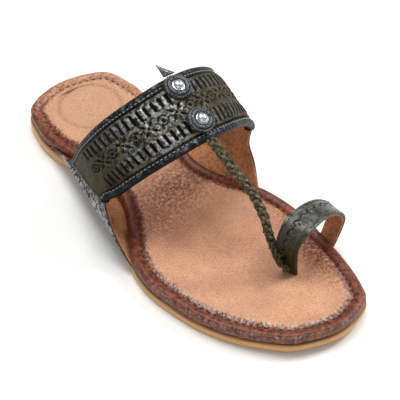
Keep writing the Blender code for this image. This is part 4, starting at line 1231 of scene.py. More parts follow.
def build_insole():
    """Wrapped insole: rolled rim gathered at its stitching, dished footbed, heel pad."""
    sizes = bpy.context.scene.sandal_sizes
    base = outline_ring(0.0)
    travelled, whole = ring_lengths(base)
    crest = puckers(travelled, whole, sizes.pucker_pitch)
    pucker, wax, dark = gather(base, "pucker"), gather(base, "wax"), gather(base, "dark")
    places = np.linspace(0, len(RIM) - 1, (len(RIM) - 1) * RIM_STEPS + 1)
    profile = catmull(RIM, places)
    rings, rims, pale_rings = [], [], []
    for inset, share in ((SEAM_DEPTH, 0.0), (SEAM_DEPTH, 0.22), (SEAM_MOUTH, 0.24)):
        ring = outline_ring(inset)
        lowered = share * (1 - SEAM_CLOSING * seam_closed(ring))
        rings.append(np.column_stack([ring, insole_height(ring[:, 1], lowered)]))
        rims.append(dark)
        pale_rings.append(np.zeros(len(ring)))
    for inset, share in profile:
        ring = outline_ring(inset)
        y = ring[:, 1]
        share = share * (1 - SEAM_CLOSING * seam_closed(ring) * smooth_step(0.5 - share, 0.0, 0.25))
        depth = sizes.pucker_depth * pucker * (1 - crest) * summed(PUCKER_BANDS, inset)
        wander = np.sin(WANDER_WAVES * 2 * math.pi * travelled / whole) * summed([WANDER_BAND], inset)
        rings.append(np.column_stack([ring, insole_height(y, share) - depth + wander]))
        edge = STAIN_REACH + STAIN_RAGGED * soft_noise(travelled, 0 * travelled, STAIN_CELL, 3)
        fade = 1 - smooth_step(inset, edge - STAIN_FADE[0], edge + STAIN_FADE[1])
        rims.append(dark * fade)
        # Pale: waxed gathers beside the stitching and a painted highlight along the outer ridge, both
        # stronger on the crests.
        pale_rings.append(np.clip(wax * summed(WAX_AND_HIGHLIGHT_BANDS, inset) * (0.25 + 0.75 * crest), 0, 1))
    size = len(base)
    rim_top = RIM[-1].height

    def footbed(across, x, y):
        dish = FOOTBED_DISH * (1 - (2 * across - 1) ** 2)
        pad = PAD_DEPTH * bell(pad_offset(x, y), PAD_LINE)
        swell = PAD_SWELL * within(pad_offset(x, y), -0.001, 0.004)
        return insole_height(y, rim_top) - dish - pad + swell

    inner = cap_points(rings[-1], FOOTBED_COLUMNS, footbed)
    first = size * len(rings)
    index = np.arange(first).reshape(len(rings), size)
    faces = closed_quads(index).tolist()
    faces += cap_faces(0, size, 0, 1)
    faces += cap_faces(first - size, size, first, FOOTBED_COLUMNS)
    vertices = np.concatenate(rings + [inner.reshape(-1, 3)])
    spare = np.zeros(inner.shape[0] * inner.shape[1])
    x, y = vertices[:, 0], vertices[:, 1]
    line = bell(pad_offset(x, y), PAD_LINE * 0.9)
    heel = within(np.hypot(x - PAD_CENTRE[0], y - PAD_CENTRE[1]), PALE_RADIUS, PALE_FADE)
    values = {
        "rim": np.concatenate(rims + [spare]),
        "wax": np.concatenate(pale_rings + [spare]),
        # Burnish with painted shade under the strap and by the toe loop, and the darker pressed line of the
        # heel pad.
        "burnish_and_shade": np.clip(footbed_burnish_and_shade(x, y) + 0.35 * line, 0, 1),
        "heel": heel,
    }
    finishes = [material("footbed_vegetable_tanned_calf")]
    insole = mesh_object("insole_wrapped", vertices, faces, finishes, None, values, 75)
    return dress(insole, "footbed_leather", "insole")


def crease_depth(s, w):
    """Depth of the listed creases of the strap."""
    total = np.zeros(np.broadcast(s, w).shape)
    for crease in STRAP_CREASES:
        across = bell(w - crease.w, crease.length)
        total += crease.depth * MM * across * bell(s - crease.s, crease.width)
        ridge = bell(s - crease.s - 1.6 * crease.width, crease.width)
        total -= 0.4 * crease.depth * MM * across * ridge
    return total


def rounded(distance, radius):
    """Drop of a rounded edge at a distance from it."""
    d = np.clip(radius - distance, 0, radius)
    return radius - np.sqrt(np.maximum(radius * radius - d * d, 0))


def edge_spaced(count, edge):
    """Places from 0 to 1 that crowd towards both ends."""
    even = np.linspace(0, 1, count)
    return even - edge * np.sin(2 * math.pi * even) / (2 * math.pi)


def build_strap():
    """Instep strap and wings: antiqued outside, dyed lining and painted cut edges."""
    last = len(STRAP.ribs) - 1
    s = np.linspace(0, last, STRAP_LINES)[:, None]
    w = edge_spaced(STRAP_COLUMNS, 0.85)[None, :]
    wall = skived(STRAP_WALL, s, last, False)
    edge = np.minimum(w, 1 - w) * STRAP.width(s)
    drop = rounded(edge, STRAP_EDGE)
    folds = crease_depth(s, w)
    outer = STRAP.lift(s, w, -drop - folds)
    inner = STRAP.lift(s, w, -wall + drop * 0.8 - folds)
    full = np.ones(outer.shape[:2])
    # Pale silver on the wings: a painted highlight along the lateral wing's fold and on the medial wing,
    # broken into patches.
    highlight_patches = summed(WING_HIGHLIGHT, s) * (0.35 + 0.65 * soft_noise(s * 0.02 * full, w * 0.05 * full, 0.004, 5))
    finishes = [material(name) for name in ("strap_antiqued_leather", "lining_dyed_split", "edge_paint")]
    values = {"rub_and_highlight": highlight_patches * full, "cut": 0 * full}
    strap = shell("instep_strap", outer, inner, finishes, values)
    return dress(strap, "strap_leather", "upper")


def slit_relief(u, v, width, start, count):
    """Height over the panel's face, the cuts painted dark with painted shade a little past them, and how
    raised it is.

    u runs along the strap and v in from its rear edge.
    """
    sizes = bpy.context.scene.sandal_sizes
    number = (u - start - SLIT_WIDTH / 2) / SLIT_PITCH
    nearest = np.clip(np.round(number), 0, count)
    from_slit = np.abs(number - nearest) * SLIT_PITCH
    inside = (number > -0.8) & (number < count + 0.8)
    row_middle = PANEL_GAP + SLIT_MARGIN + SLIT_LENGTH / 2
    from_row = np.minimum(
        np.abs(v - REAR_BINDING - row_middle), np.abs(width - v - FRONT_BINDING - row_middle)
    )
    uneven = np.sin(12.9 * nearest + np.where(v > width / 2, 1.7, 0.0))
    half = SLIT_LENGTH / 2 - 0.0004 + SLIT_WAVER * uneven
    slot = within(from_slit, SLIT_WIDTH / 2, 0.0005) * within(from_row, half, 0.0007) * inside
    # Painted shade: the slits' darkening reaches a little past the cut.
    shade = within(from_slit, SLIT_WIDTH / 2 + 0.0003, 0.0006) * inside
    shade *= within(from_row, half + 0.0003, 0.0007)
    block = np.clip(from_slit / (SLIT_PITCH / 2), 0, 1)
    crown = np.sin(block * math.pi / 2) * np.clip(1 - (from_row / (SLIT_LENGTH / 2)) ** 6, 0, 1)
    between = (number > 0.0) & (number < count)
    pillow = sizes.block_pillow * crown * between
    group = np.round((number - MOTIF_EVERY / 2) / MOTIF_EVERY) * MOTIF_EVERY + MOTIF_EVERY / 2
    group_inside = (group > 0) & (group < count)
    du, dv = (number - group) * SLIT_PITCH, v - width / 2
    radius, turn = np.hypot(du, dv), np.arctan2(dv, du)
    petal = within(np.abs(radius - PETAL[0]), PETAL[1], CUT_SOFTNESS)
    petal *= within(np.abs(np.sin(2 * turn + math.pi / 2)), 0.42, 0.3)
    ray = within(np.abs(radius - RAY[0]), RAY[1], CUT_SOFTNESS)
    ray *= within(np.abs(np.sin(4 * turn)), 0.30, 0.3)
    hub = within(radius, HUB, 0.0005)
    motif = np.clip(petal + 0.8 * ray + hub, 0, 1) * group_inside
    halfway = np.abs(np.abs(number - group) - MOTIF_EVERY / 2) * SLIT_PITCH
    gap = np.hypot(halfway, dv)
    lozenge = within(gap, LOZENGE, 0.0005)
    scallop = within(np.abs(gap - SCALLOP[0]), SCALLOP[1], 0.0004) * (np.abs(dv) > 0.0010)
    cuts = np.clip(slot + motif + (lozenge + 0.8 * scallop) * (group_inside | inside), 0, 1)
    petals = RAISED_PETAL * within(radius, 0.0056, 0.0014) * group_inside
    petals = petals * (0.5 + 0.5 * np.cos(8 * turn))
    height = (pillow + petals) * (1 - cuts) - cuts * (PANEL_LEATHER - 0.0001)
    raised = np.clip((pillow / sizes.block_pillow) * 0.8 + petals / RAISED_PETAL, 0, 1) * (1 - cuts)
    return height, np.maximum(cuts, shade), raised


def build_panel():
    """Cut leather on the strap: blocks between slits, flowers and scallops between them."""
    fine, distance = STRAP.travelled(FIRST_FOLD, LAST_FOLD)
    whole = distance[-1]
    count = int((whole - 2 * PLAIN_END) / SLIT_PITCH)
    start = (whole - count * SLIT_PITCH - SLIT_WIDTH) / 2
    u = np.linspace(0, whole, int(whole / PANEL_CELL))[:, None]
    s = np.interp(u, distance, fine)
    width = STRAP.width(s)
    rear, front = REAR_BINDING + PANEL_GAP, width - FRONT_BINDING - PANEL_GAP
    v = rear + (front - rear) * np.linspace(0, 1, PANEL_COLUMNS)[None, :]
    w = v / width
    height, cuts, raised = slit_relief(u + 0 * v, v, width + 0 * v, start, count)
    ends = np.minimum(u, whole - u)
    edge = np.minimum(np.minimum(v - rear, front - v), ends)
    drop = rounded(edge, PANEL_EDGE)
    lip = PANEL_LIP * within(ends, 0.0016, 0.0008)
    top = PANEL_SEAT + PANEL_LEATHER + height - drop + lip
    ripple = soft_noise(u + 0 * v, v, RIPPLE_CELL, 11) - 0.5
    outer = STRAP.lift(s + 0 * v, w, top + PANEL_RIPPLE * ripple * (1 - cuts))
    inner = STRAP.lift(s + 0 * v, w, 0.0002 + 0 * v)
    share = u / whole
    # Rubbed silver with a painted highlight: strongest a little before the strap's middle and on the raised
    # blocks and petals, fading near the ends. A painted highlight also runs along the panel's end lips.
    patch = soft_noise(u + 0 * v, v, RUB_AND_HIGHLIGHT_CELL, 7)
    rub_and_highlight = summed(PANEL_HIGHLIGHT, share) * (0.35 + 0.75 * patch) * (0.45 + 0.75 * raised)
    rub_and_highlight = rub_and_highlight * within(-ends, -RUB_AND_HIGHLIGHT_END, RUB_AND_HIGHLIGHT_FADE)
    end_highlight = 0.5 * within(ends, 0.0012, 0.001)
    leather = material("strap_antiqued_leather")
    # The cut value paints the slits and small cuts near black: painted shade in the recesses.
    values = {"rub_and_highlight": np.clip(rub_and_highlight + end_highlight, 0, 1), "cut": np.clip(cuts * 1.1, 0, 1)}
    panel = shell("slit_panel_leather", outer, inner, [leather] * 3, values, 60)
    return dress(panel, "strap_leather", "slit_panel")


def build_binding(name, edge, band, node):
    """Leather folded over one edge of the strap: stitched band, then a full roll."""
    inward = 1 if edge == 0 else -1
    s = np.linspace(FIRST_FOLD, LAST_FOLD, BINDING_LINES)[:, None]
    places = np.linspace(0, len(BINDING) - 1, (len(BINDING) - 1) * BINDING_STEPS + 1)
    profile = catmull(BINDING, places) * MM
    narrowed = (profile[:, 0] > 0) & (profile[:, 1] > 0)
    profile[narrowed, 0] *= band / REAR_BINDING
    reach, height = profile[:, 0][None, :], profile[:, 1][None, :]
    span = STRAP.width(s)
    inside = np.maximum(reach, 0.0)
    w = edge + inward * inside / span
    seat = STRAP.at(s, w)
    beside = edge + 0.0 * w
    corner = STRAP.at(s, beside)
    run = STRAP.at(s + TANGENT_STEP, beside) - STRAP.at(s - TANGENT_STEP, beside)
    across = np.cross(run, STRAP.normal(s, beside)) * inward
    across /= np.linalg.norm(across, axis=-1, keepdims=True)
    overhang = np.minimum(reach, 0.0)[..., None]
    wobble = BINDING_WOBBLE * (soft_noise(s * 0.02 + 0 * reach, reach + 0 * s, WOBBLE_CELL, 21 + edge) - 0.5)
    lift = (height + wobble)[..., None]
    rings = np.where(reach[..., None] < 0, corner + across * overhang, seat) + STRAP.normal(s, w) * lift
    # Painted highlight along the top of the roll, strongest a little before the middle and fading out
    # towards the far end.
    top = bell(profile[:, 0] - 0.0012, 0.0016) * (profile[:, 1] > 0)
    length_share = np.linspace(0, 1, len(s))[:, None]
    rub_and_highlight = top[None, :] * (0.35 + 0.65 * bell(length_share - 0.45, 0.25))
    rub_and_highlight *= within(length_share, 0.70, 0.12)
    binding = tube(name, rings, [material("binding_glazed_kid")], {"rub_and_highlight": rub_and_highlight})
    return dress(binding, "edge_leather", node)


def arc_grooves(u, v, pitch, start, end, middle):
    """Punched arcs and dots along the toe loop, 1 in a cut and 0 beside it."""
    number = np.clip(np.round((u - start) / pitch), 0, int((end - start) / pitch))
    du, dv = u - start - number * pitch, v - middle
    radius, turn = np.hypot(du, dv), np.degrees(np.arctan2(-dv, du))
    arc = within(np.abs(radius - ARC_RADIUS), ARC_LINE, 0.0004) * (turn > 8) * (turn < 172)
    half = np.clip(np.round((u - start) / pitch - 0.5), 0, int((end - start) / pitch) - 1) + 0.5
    beside = u - start - half * pitch
    dots = within(np.hypot(beside, dv + 0.0016), ARC_HALF_DOT, 0.0004)
    dots += within(np.hypot(du, dv - 0.0008), ARC_MID_DOT, 0.0004)
    return np.clip(arc + dots, 0, 1)


def build_loop():
    """Toe loop: rounded edges, punched arcs and dots, lining inside."""
    sizes = bpy.context.scene.sandal_sizes
    last = len(LOOP.ribs) - 1
    fine, distance = LOOP.travelled(0, last)
    u = np.linspace(0, distance[-1], LOOP_LINES)[:, None]
    s = np.interp(u, distance, fine)
    w = edge_spaced(LOOP_COLUMNS, 0.6)[None, :]
    width = LOOP.width(s)
    v = w * width
    edge = np.minimum(v, width - v)
    drop = rounded(edge, LOOP_EDGE)
    start = np.interp(1.9, fine, distance)
    end = np.interp(last - 1.6, fine, distance)
    cut = arc_grooves(u + 0 * v, v, sizes.scallop_pitch, start, end, width * 0.47)
    bead = BEAD_DEPTH * bell(edge - BEAD_INSET, 0.0007)
    wall = skived(LOOP_WALL, s, last, True)
    outer = LOOP.lift(s + 0 * v, w + 0 * v, -drop - ARC_DEPTH * cut - bead + 0.0002)
    inner = LOOP.lift(s + 0 * v, w + 0 * v, -wall + 0.8 * drop)
    share = u / distance[-1]
    full = 1 + 0 * v
    # The punched arcs, dots and the stitch line are painted dark: painted shade in the grooves.
    line = 0.5 * within(np.abs(edge - LOOP_STITCH_INSET), 0.0002, 0.0005)
    # Two silver bands of painted highlight along the loop; a darker patina at its foot.
    values = {
        "rub_and_highlight": summed(LOOP_HIGHLIGHT, share) * full,
        "cut": np.clip(1.6 * cut + line, 0, 1),
        "foot": within(share, 0.30, 0.16) * full,
    }
    finishes = [material(name) for name in ("loop_antiqued_leather", "lining_dyed_split", "edge_paint")]
    loop = shell("toe_loop", outer, inner, finishes, values)
    return dress(loop, "strap_leather", "upper")


def seat_frame(back):
    """Origin and side, forward and up directions on the panel, back metres from the rear edge."""
    w = back / STRAP.width(ROSETTE_RIB)
    up = STRAP.normal(ROSETTE_RIB, w)
    forward = STRAP.at(ROSETTE_RIB, w + TANGENT_STEP) - STRAP.at(ROSETTE_RIB, w)
    forward -= up * np.dot(forward, up)
    forward /= np.linalg.norm(forward)
    side = np.cross(forward, up)
    rise = CLEARANCE + PANEL_SEAT + PANEL_LEATHER
    return STRAP.at(ROSETTE_RIB, w) + up * rise, side, forward, up


def turned(name, profile, seat, finishes, notch=None, values=None, segments=TURNED_SIDES):
    """Body turned from (radius, height) points in metres on a seat; notch shortens radii."""
    origin, side, forward, up = seat
    turn = 2 * math.pi * np.arange(segments) / segments
    profile = np.asarray(profile)
    radius = profile[:, :1] - (notch(turn)[None, :] * profile[:, 2:3] if notch else 0.0)
    rings = (
        origin
        + (radius * np.cos(turn))[..., None] * side
        + (radius * np.sin(turn))[..., None] * forward
        + (profile[:, 1:2] + 0 * radius)[..., None] * up
    )
    spread = {key: np.repeat(numbers, segments) for key, numbers in (values or {}).items()}
    return tube(name, rings, finishes, spread, 40)


def build_rosette(name, back, node):
    """Pressed leather disc: knurled edge, grooved shoulder and a raised inner ring."""
    teeth = bpy.context.scene.sandal_sizes.rosette_teeth
    edge, ring = ROSETTE_THICKNESS, ROSETTE_THICKNESS + RING_THICKNESS
    outer, inner = ROSETTE_RADIUS, RING_RADIUS
    # The last number of each row is the painted highlight: on the ring's crown and the top of the knurled
    # edge.
    rows = (
        (outer - 0.0005, 0.0, 1.0, 0.0),
        (outer - 0.0001, edge * 0.20, 1.0, 0.0),
        (outer, edge * 0.50, 1.0, 0.2),
        (outer - 0.0002, edge * 0.82, 1.0, 0.5),
        (outer - 0.0008, edge * 1.00, 0.7, 0.6),
        (outer - 0.0015, edge * 0.96, 0.2, 0.2),
        (inner + 0.0007, edge * 0.80, 0.0, 0.0),
        (inner + 0.0002, edge * 0.95, 0.0, 0.3),
        (inner - 0.0001, ring * 0.95, 0.0, 0.9),
        (inner - 0.0006, ring * 1.04, 0.0, 1.0),
        (inner - 0.0012, ring * 0.98, 0.0, 0.7),
        (inner - 0.0015, ring * 0.86, 0.0, 0.1),
        (STUD_RADIUS + 0.0010, ring * 0.88, 0.0, 0.2),
        (STUD_RADIUS + 0.0008, edge, 0.0, 0.0),
    )
    profile = [(radius, height, KNURL_DEPTH * notch) for radius, height, notch, _ in rows]

    def notch(turn):
        return 0.5 - 0.5 * np.cos(teeth * turn)

    values = {"rub_and_highlight": [row[3] for row in rows]}
    disc = turned(name, profile, seat_frame(back), [material("rosette_pressed_leather")], notch, values)
    return dress(disc, "edge_leather", node)


def build_stud(name, back, node):
    """Nickel-plated dome on a thin collar."""
    base = ROSETTE_THICKNESS + CLEARANCE
    collar = STUD_RADIUS + 0.0005
    profile = [(collar, base, 0), (collar + 0.0001, base + 0.0002, 0), (collar - 0.0001, base + 0.0005, 0)]
    for i in range(STUD_STEPS):
        turn = math.pi / 2 * i / STUD_STEPS
        profile.append((STUD_RADIUS * math.cos(turn), base + 0.0006 + STUD_HEIGHT * math.sin(turn), 0))
    profile.append((0.00002, base + 0.0006 + STUD_HEIGHT, 0))
    stud = turned(name, profile, seat_frame(back), [material("nickel_plated_brass")], segments=STUD_SIDES)
    return dress(stud, "stud_metal", node)


def build_horn():
    """Pointed leather tab behind the rear rosette, creased down its middle."""
    origin, side, forward, up = seat_frame(REAR_ROSETTE_BACK)
    start = ROSETTE_RADIUS + HORN_GAP
    t = np.linspace(0, 1, HORN_LINES)[:, None]
    turn = (2 * math.pi * np.arange(HORN_SIDES) / HORN_SIDES)[None, :]
    share = 1 - 0.94 * t ** 0.85
    height = HORN_THICKNESS / 2 + CLEARANCE
    across = share * HORN_WIDTH / 2 * np.cos(turn) + HORN_LEAN * t
    keel = 0.0005 * bell(np.cos(turn), 0.25) * np.sign(np.sin(turn)) * (1 - t)
    lift = height + (1 - 0.70 * t) * HORN_THICKNESS / 2 * np.sin(turn) - keel
    rings = (
        origin
        + across[..., None] * side
        - (start + HORN_LENGTH * t + 0 * turn)[..., None] * forward
        + lift[..., None] * up
    )
    middle = bell(np.cos(turn), 0.7) + 0 * t
    values = {"rub_and_highlight": 0.75 * middle, "cut": np.clip(0.9 - 1.6 * middle, 0, 1)}
    horn = tube("horn_tab_leather", rings, [material("strap_antiqued_leather")], values)
    return dress(horn, "edge_leather", "horn_tab")


def group_tree(name, lengths):
    """Geometry node tree whose inputs are a geometry, some lengths and a material."""
    tree = bpy.data.node_groups.new(name, "GeometryNodeTree")
    tree.interface.new_socket("Geometry", in_out="INPUT", socket_type="NodeSocketGeometry")
    for label in lengths:
        tree.interface.new_socket(label, in_out="INPUT", socket_type="NodeSocketFloat")
    tree.interface.new_socket("Material", in_out="INPUT", socket_type="NodeSocketMaterial")
    tree.interface.new_socket("Geometry", in_out="OUTPUT", socket_type="NodeSocketGeometry")
    return tree, tree.nodes.new("NodeGroupInput").outputs


def finish_tree(tree, given, shape):
    """End of a tree: instances made real, with the material set."""
    real = add(tree, "GeometryNodeRealizeInstances", {"Geometry": shape})
    coated = add(tree, "GeometryNodeSetMaterial", {"Geometry": real, "Material": given["Material"]})
    smooth = add(tree, "GeometryNodeSetShadeSmooth", {"Geometry": coated})
    feed(tree, tree.nodes.new("NodeGroupOutput"), {0: smooth})
    return tree


def stitch_tree():
    """A stitch on every point, laid along the point's ahead value and flat to its up value."""
    found = bpy.data.node_groups.get("stitch_row")
    if found:
        return found
    tree, given = group_tree("stitch_row", ("Length", "Thickness"))
    ball = add(tree, "GeometryNodeMeshUVSphere", {"Segments": 8, "Rings": 6, "Radius": 0.5})
    scale = add(tree, "ShaderNodeCombineXYZ", {
        0: given["Length"], 1: given["Thickness"], 2: given["Thickness"],
    })
    bead = add(tree, "GeometryNodeTransform", {"Geometry": ball, "Scale": scale})
    ahead = add(tree, "GeometryNodeInputNamedAttribute", {"Name": "ahead"}, data_type="FLOAT_VECTOR")
    up = add(tree, "GeometryNodeInputNamedAttribute", {"Name": "up"}, data_type="FLOAT_VECTOR")
    along = add(tree, "FunctionNodeAlignRotationToVector", {"Vector": ahead}, axis="X")
    laid = add(
        tree, "FunctionNodeAlignRotationToVector", {"Rotation": along, "Vector": up},
        axis="Z", pivot_axis="X",
    )
    placed = add(tree, "GeometryNodeInstanceOnPoints", {
        "Points": given["Geometry"], "Instance": bead, "Rotation": laid,
    })
    return finish_tree(tree, given, placed)


def plait_tree():
    """Three flat strands that cross in turn along a curve."""
    found = bpy.data.node_groups.get("three_strand_plait")
    if found:
        return found
    lengths = ("Sway", "Rise", "Period", "Strand Width", "Strand Thickness", "Step")
    tree, given = group_tree("three_strand_plait", lengths)
    even = add(
        tree, "GeometryNodeResampleCurve", {"Curve": given["Geometry"], "Length": given["Step"]},
        mode="LENGTH",
    )
    upright = add(tree, "GeometryNodeSetCurveNormal", {"Curve": even}, mode="Z_UP")
    run = add(tree, "GeometryNodeSplineParameter", out="Length")
    turns = add(tree, MATH, {0: run, 1: given["Period"]}, operation="DIVIDE")
    side = add(tree, "GeometryNodeInputNormal")
    ahead = add(tree, "GeometryNodeInputTangent")
    up = add(tree, VECTOR_MATH, {0: side, 1: ahead}, operation="CROSS_PRODUCT")
    circle = add(tree, "GeometryNodeCurvePrimitiveCircle", {"Resolution": 12, "Radius": 0.5})
    flat = add(tree, "ShaderNodeCombineXYZ", {
        0: given["Strand Width"], 1: given["Strand Thickness"], 2: 1.0,
    })
    profile = add(tree, "GeometryNodeTransform", {"Geometry": circle, "Scale": flat})
    joined = tree.nodes.new("GeometryNodeJoinGeometry")
    for strand in range(3):
        shifted = add(tree, MATH, {0: turns, 1: strand / 3}, operation="ADD")
        angle = add(tree, MATH, {0: shifted, 1: 2 * math.pi}, operation="MULTIPLY")
        double = add(tree, MATH, {0: angle, 1: 2.0}, operation="MULTIPLY")
        sway = add(tree, MATH, {0: angle}, operation="SINE")
        rise = add(tree, MATH, {0: double}, operation="SINE")
        sideways = add(tree, MATH, {0: sway, 1: given["Sway"]}, operation="MULTIPLY")
        upwards = add(tree, MATH, {0: rise, 1: given["Rise"]}, operation="MULTIPLY")
        move_side = add(tree, VECTOR_MATH, {0: side, 3: sideways}, operation="SCALE")
        move_up = add(tree, VECTOR_MATH, {0: up, 3: upwards}, operation="SCALE")
        both = add(tree, VECTOR_MATH, {0: move_side, 1: move_up}, operation="ADD")
        bent = add(tree, "GeometryNodeSetPosition", {"Geometry": upright, "Offset": both})
        strip = add(tree, "GeometryNodeCurveToMesh", {
            "Curve": bent, "Profile Curve": profile, "Fill Caps": True,
        })
        feed(tree, joined, {0: strip})
    return finish_tree(tree, given, joined.outputs[0])


def apply_tree(name, source, tree, inputs):
    """Plain mesh object that a geometry tree makes from a source object."""
    modifier = source.modifiers.new(tree.name, "NODES")
    modifier.node_group = tree
    sockets = {item.name: item.identifier for item in tree.interface.items_tree if item.in_out == "INPUT"}
    for key, setting in inputs.items():
        modifier[sockets[key]] = setting
    graph = bpy.context.evaluated_depsgraph_get()
    mesh = bpy.data.meshes.new_from_object(source.evaluated_get(graph))
    mesh.name = name
    made = bpy.data.objects.new(name, mesh)
    bpy.context.scene.collection.objects.link(made)
    bpy.data.objects.remove(source, do_unlink=True)
    return made


def sew(name, places, ahead, up, stitch, finish_name, slot):
    """Row of stitches at places, each along ahead and flat to up."""
    mesh = bpy.data.meshes.new(name + "_points")
    mesh.from_pydata(places.tolist(), [], [])
    for key, numbers in (("ahead", ahead), ("up", up)):
        layer = mesh.attributes.new(key, "FLOAT_VECTOR", "POINT")
        layer.data.foreach_set("vector", np.asarray(numbers, dtype=np.float32).ravel())
    source = bpy.data.objects.new(name + "_points", mesh)
    bpy.context.scene.collection.objects.link(source)
    thread = bpy.context.scene.sandal_sizes.thread
    inputs = {"Length": stitch, "Thickness": thread, "Material": material(finish_name)}
    return dress(apply_tree(name, source, stitch_tree(), inputs), slot)


def sew_on(surface, name, line, low, high, height, pitch, finish_name, slot, fill=STITCH_FILL):
    """Stitches along a line of a surface: w as a function of s, between two values of s."""
    s = np.linspace(low, high, SEAM_STEPS)
    run = path_lengths(surface.lift(s, line(s), height + 0 * s))
    at = (np.arange(int(run[-1] / pitch)) + 0.5) * pitch
    place = np.interp(at, run, s)
    near = surface.lift(place, line(place), height + 0 * place)
    after, before = place + SEWING_STEP, place - SEWING_STEP
    ahead = surface.at(after, line(after)) - surface.at(before, line(before))
    up = surface.normal(place, line(place))
    return sew(name, near, ahead, up, pitch * fill, finish_name, slot)


def edge_line(surface, inset, near_rear):
    """Line at an inset from one edge of a surface: w as a function of s."""
    def line(s):
        share = inset / surface.width(s)
        return share if near_rear else 1 - share

    return line


def build_stitching():
    """All the thread that shows: rim, bindings, wings and toe loop."""
    sizes = bpy.context.scene.sandal_sizes
    groove = RIM[7]
    ring = outline_ring(groove.inset)
    travelled, whole = ring_lengths(ring)
    count = round(whole / sizes.rim_stitch_pitch)
    at = (np.arange(count) + 0.5) * whole / count
    closed = np.vstack([ring, ring[:1]])
    run = np.append(travelled, whole)

    def on_ring(place):
        return np.column_stack([np.interp(place, run, closed[:, axis]) for axis in (0, 1)])

    plan = on_ring(at)
    places = np.column_stack([plan, insole_height(plan[:, 1], groove.height) + STITCH_LIFT])
    ahead = np.column_stack([on_ring(at + RING_STEP) - on_ring(at - RING_STEP), 0 * at])
    up = np.tile([0.0, 0.0, 1.0], (count, 1))
    sew("rim_stitches", places, ahead, up, RIM_STITCH, "thread_black", "footbed_leather")
    for name, inset, near_rear in (
        ("rear_binding_stitches", REAR_STITCH_INSET, True),
        ("front_binding_stitches", FRONT_STITCH_INSET, False),
    ):
        line = edge_line(STRAP, inset, near_rear)
        sew_on(
            STRAP, name, line, FIRST_FOLD + 0.05, LAST_FOLD - 0.05, BINDING_STITCH_HEIGHT,
            sizes.strap_stitch_pitch, "thread_grey", "edge_leather",
        )
    for name, s_fixed in (
        ("lateral_wing_stitches", LATERAL_STITCH_RIB), ("medial_wing_stitches", MEDIAL_STITCH_RIB),
    ):
        w = np.linspace(0.04, 0.965, WING_SEAM_STEPS)
        run = path_lengths(STRAP.at(s_fixed + 0 * w, w))
        at = (np.arange(int(run[-1] / sizes.wing_stitch_pitch)) + 0.5) * sizes.wing_stitch_pitch
        place = np.interp(at, run, w)
        rib = s_fixed + 0 * place
        near = STRAP.lift(rib, place, STITCH_LIFT + 0 * place)
        ahead = STRAP.at(rib, place + SEWING_STEP) - STRAP.at(rib, place - SEWING_STEP)
        up = STRAP.normal(rib, place)
        sew(name, near, ahead, up, WING_STITCH, "thread_black", "strap_leather")
    for name, near_rear in (("loop_rear_stitches", True), ("loop_front_stitches", False)):
        line = edge_line(LOOP, LOOP_STITCH_INSET, near_rear)
        sew_on(
            LOOP, name, line, 1.5, len(LOOP.ribs) - 2.6, LOOP_STITCH_LIFT,
            sizes.loop_stitch_pitch, "thread_black", "strap_leather", LOOP_STITCH_FILL,
        )


def build_plait():
    """Three-strand plait from the strap's crown down to the foot of the toe loop."""
    sizes = bpy.context.scene.sandal_sizes
    rows = [(p.out * BALL_WIDTH / 2, along_to_y(p.along), p.up * INSTEP_HEIGHT) for p in BRAID_PATH]
    points = catmull(rows, np.linspace(0, len(rows) - 1, PLAIT_POINTS))
    curve = bpy.data.curves.new("plait_path", "CURVE")
    curve.dimensions = "3D"
    spline = curve.splines.new("POLY")
    spline.points.add(len(points) - 1)
    spline.points.foreach_set("co", np.column_stack([points, np.ones(len(points))]).ravel())
    source = bpy.data.objects.new("plait_path", curve)
    bpy.context.scene.collection.objects.link(source)
    inputs = {
        "Sway": (BRAID_WIDTH - sizes.strand_width) / 2,
        "Rise": sizes.strand_thickness * 0.52,
        "Period": sizes.plait_period,
        "Strand Width": sizes.strand_width,
        "Strand Thickness": sizes.strand_thickness,
        "Step": PLAIT_CELL,
        "Material": material("plait_cut_lace"),
    }
    plait = apply_tree("toe_plait", source, plait_tree(), inputs)
    return dress(plait, "strap_leather", "upper")


def aimed(made, place, aim):
    """Put a lamp or camera in the scene, turned to a point."""
    made.location = place
    made.rotation_euler = (Vector(aim) - Vector(place)).to_track_quat("-Z", "Y").to_euler()
    bpy.context.scene.collection.objects.link(made)


def build_stage():
    """Pale floor, soft overhead light with a key and a fill, and the camera."""
    mesh = bpy.data.meshes.new("studio_floor")
    signs = ((-1, -1), (1, -1), (1, 1), (-1, 1))
    mesh.from_pydata([(x * FLOOR_REACH, y * FLOOR_REACH, 0.0) for x, y in signs], [], [(0, 1, 2, 3)])
    mesh.materials.append(material("studio_board"))
    floor = bpy.data.objects.new("studio_floor", mesh)
    bpy.context.scene.collection.objects.link(floor)
    world = bpy.data.worlds.new("studio_air")
    world.use_nodes = True
    air = world.node_tree
    feed(air, air.nodes["Background"], {"Color": (1.0, 1.0, 1.0), "Strength": AIR_STRENGTH})
    bpy.context.scene.world = world
    bpy.context.scene.view_settings.view_transform = "Standard"
    for lamp in LAMPS:
        light = bpy.data.lights.new(lamp.name, "AREA")
        light.shape = "DISK"
        light.size = lamp.width
        light.energy = lamp.watts
        aimed(bpy.data.objects.new(lamp.name, light), lamp.place, LAMP_AIM)
    camera = bpy.data.objects.new("camera", bpy.data.cameras.new("camera"))
    camera.data.lens = CAMERA_LENS
    camera.data.sensor_width = SENSOR_WIDTH
    aimed(camera, CAMERA_PLACE, CAMERA_AIM)
    bpy.context.scene.camera = camera


class StageOperator(bpy.types.Operator):
    """Set the floor, the light and the camera"""

    bl_idname = "sandal.stage"
    bl_label = "Stage"

    def execute(self, context):
        build_stage()
        return {"FINISHED"}


class OutsoleOperator(bpy.types.Operator):
    """Make the leather outsole"""

    bl_idname = "sandal.outsole"
    bl_label = "Outsole"

    def execute(self, context):
        build_outsole()
        return {"FINISHED"}


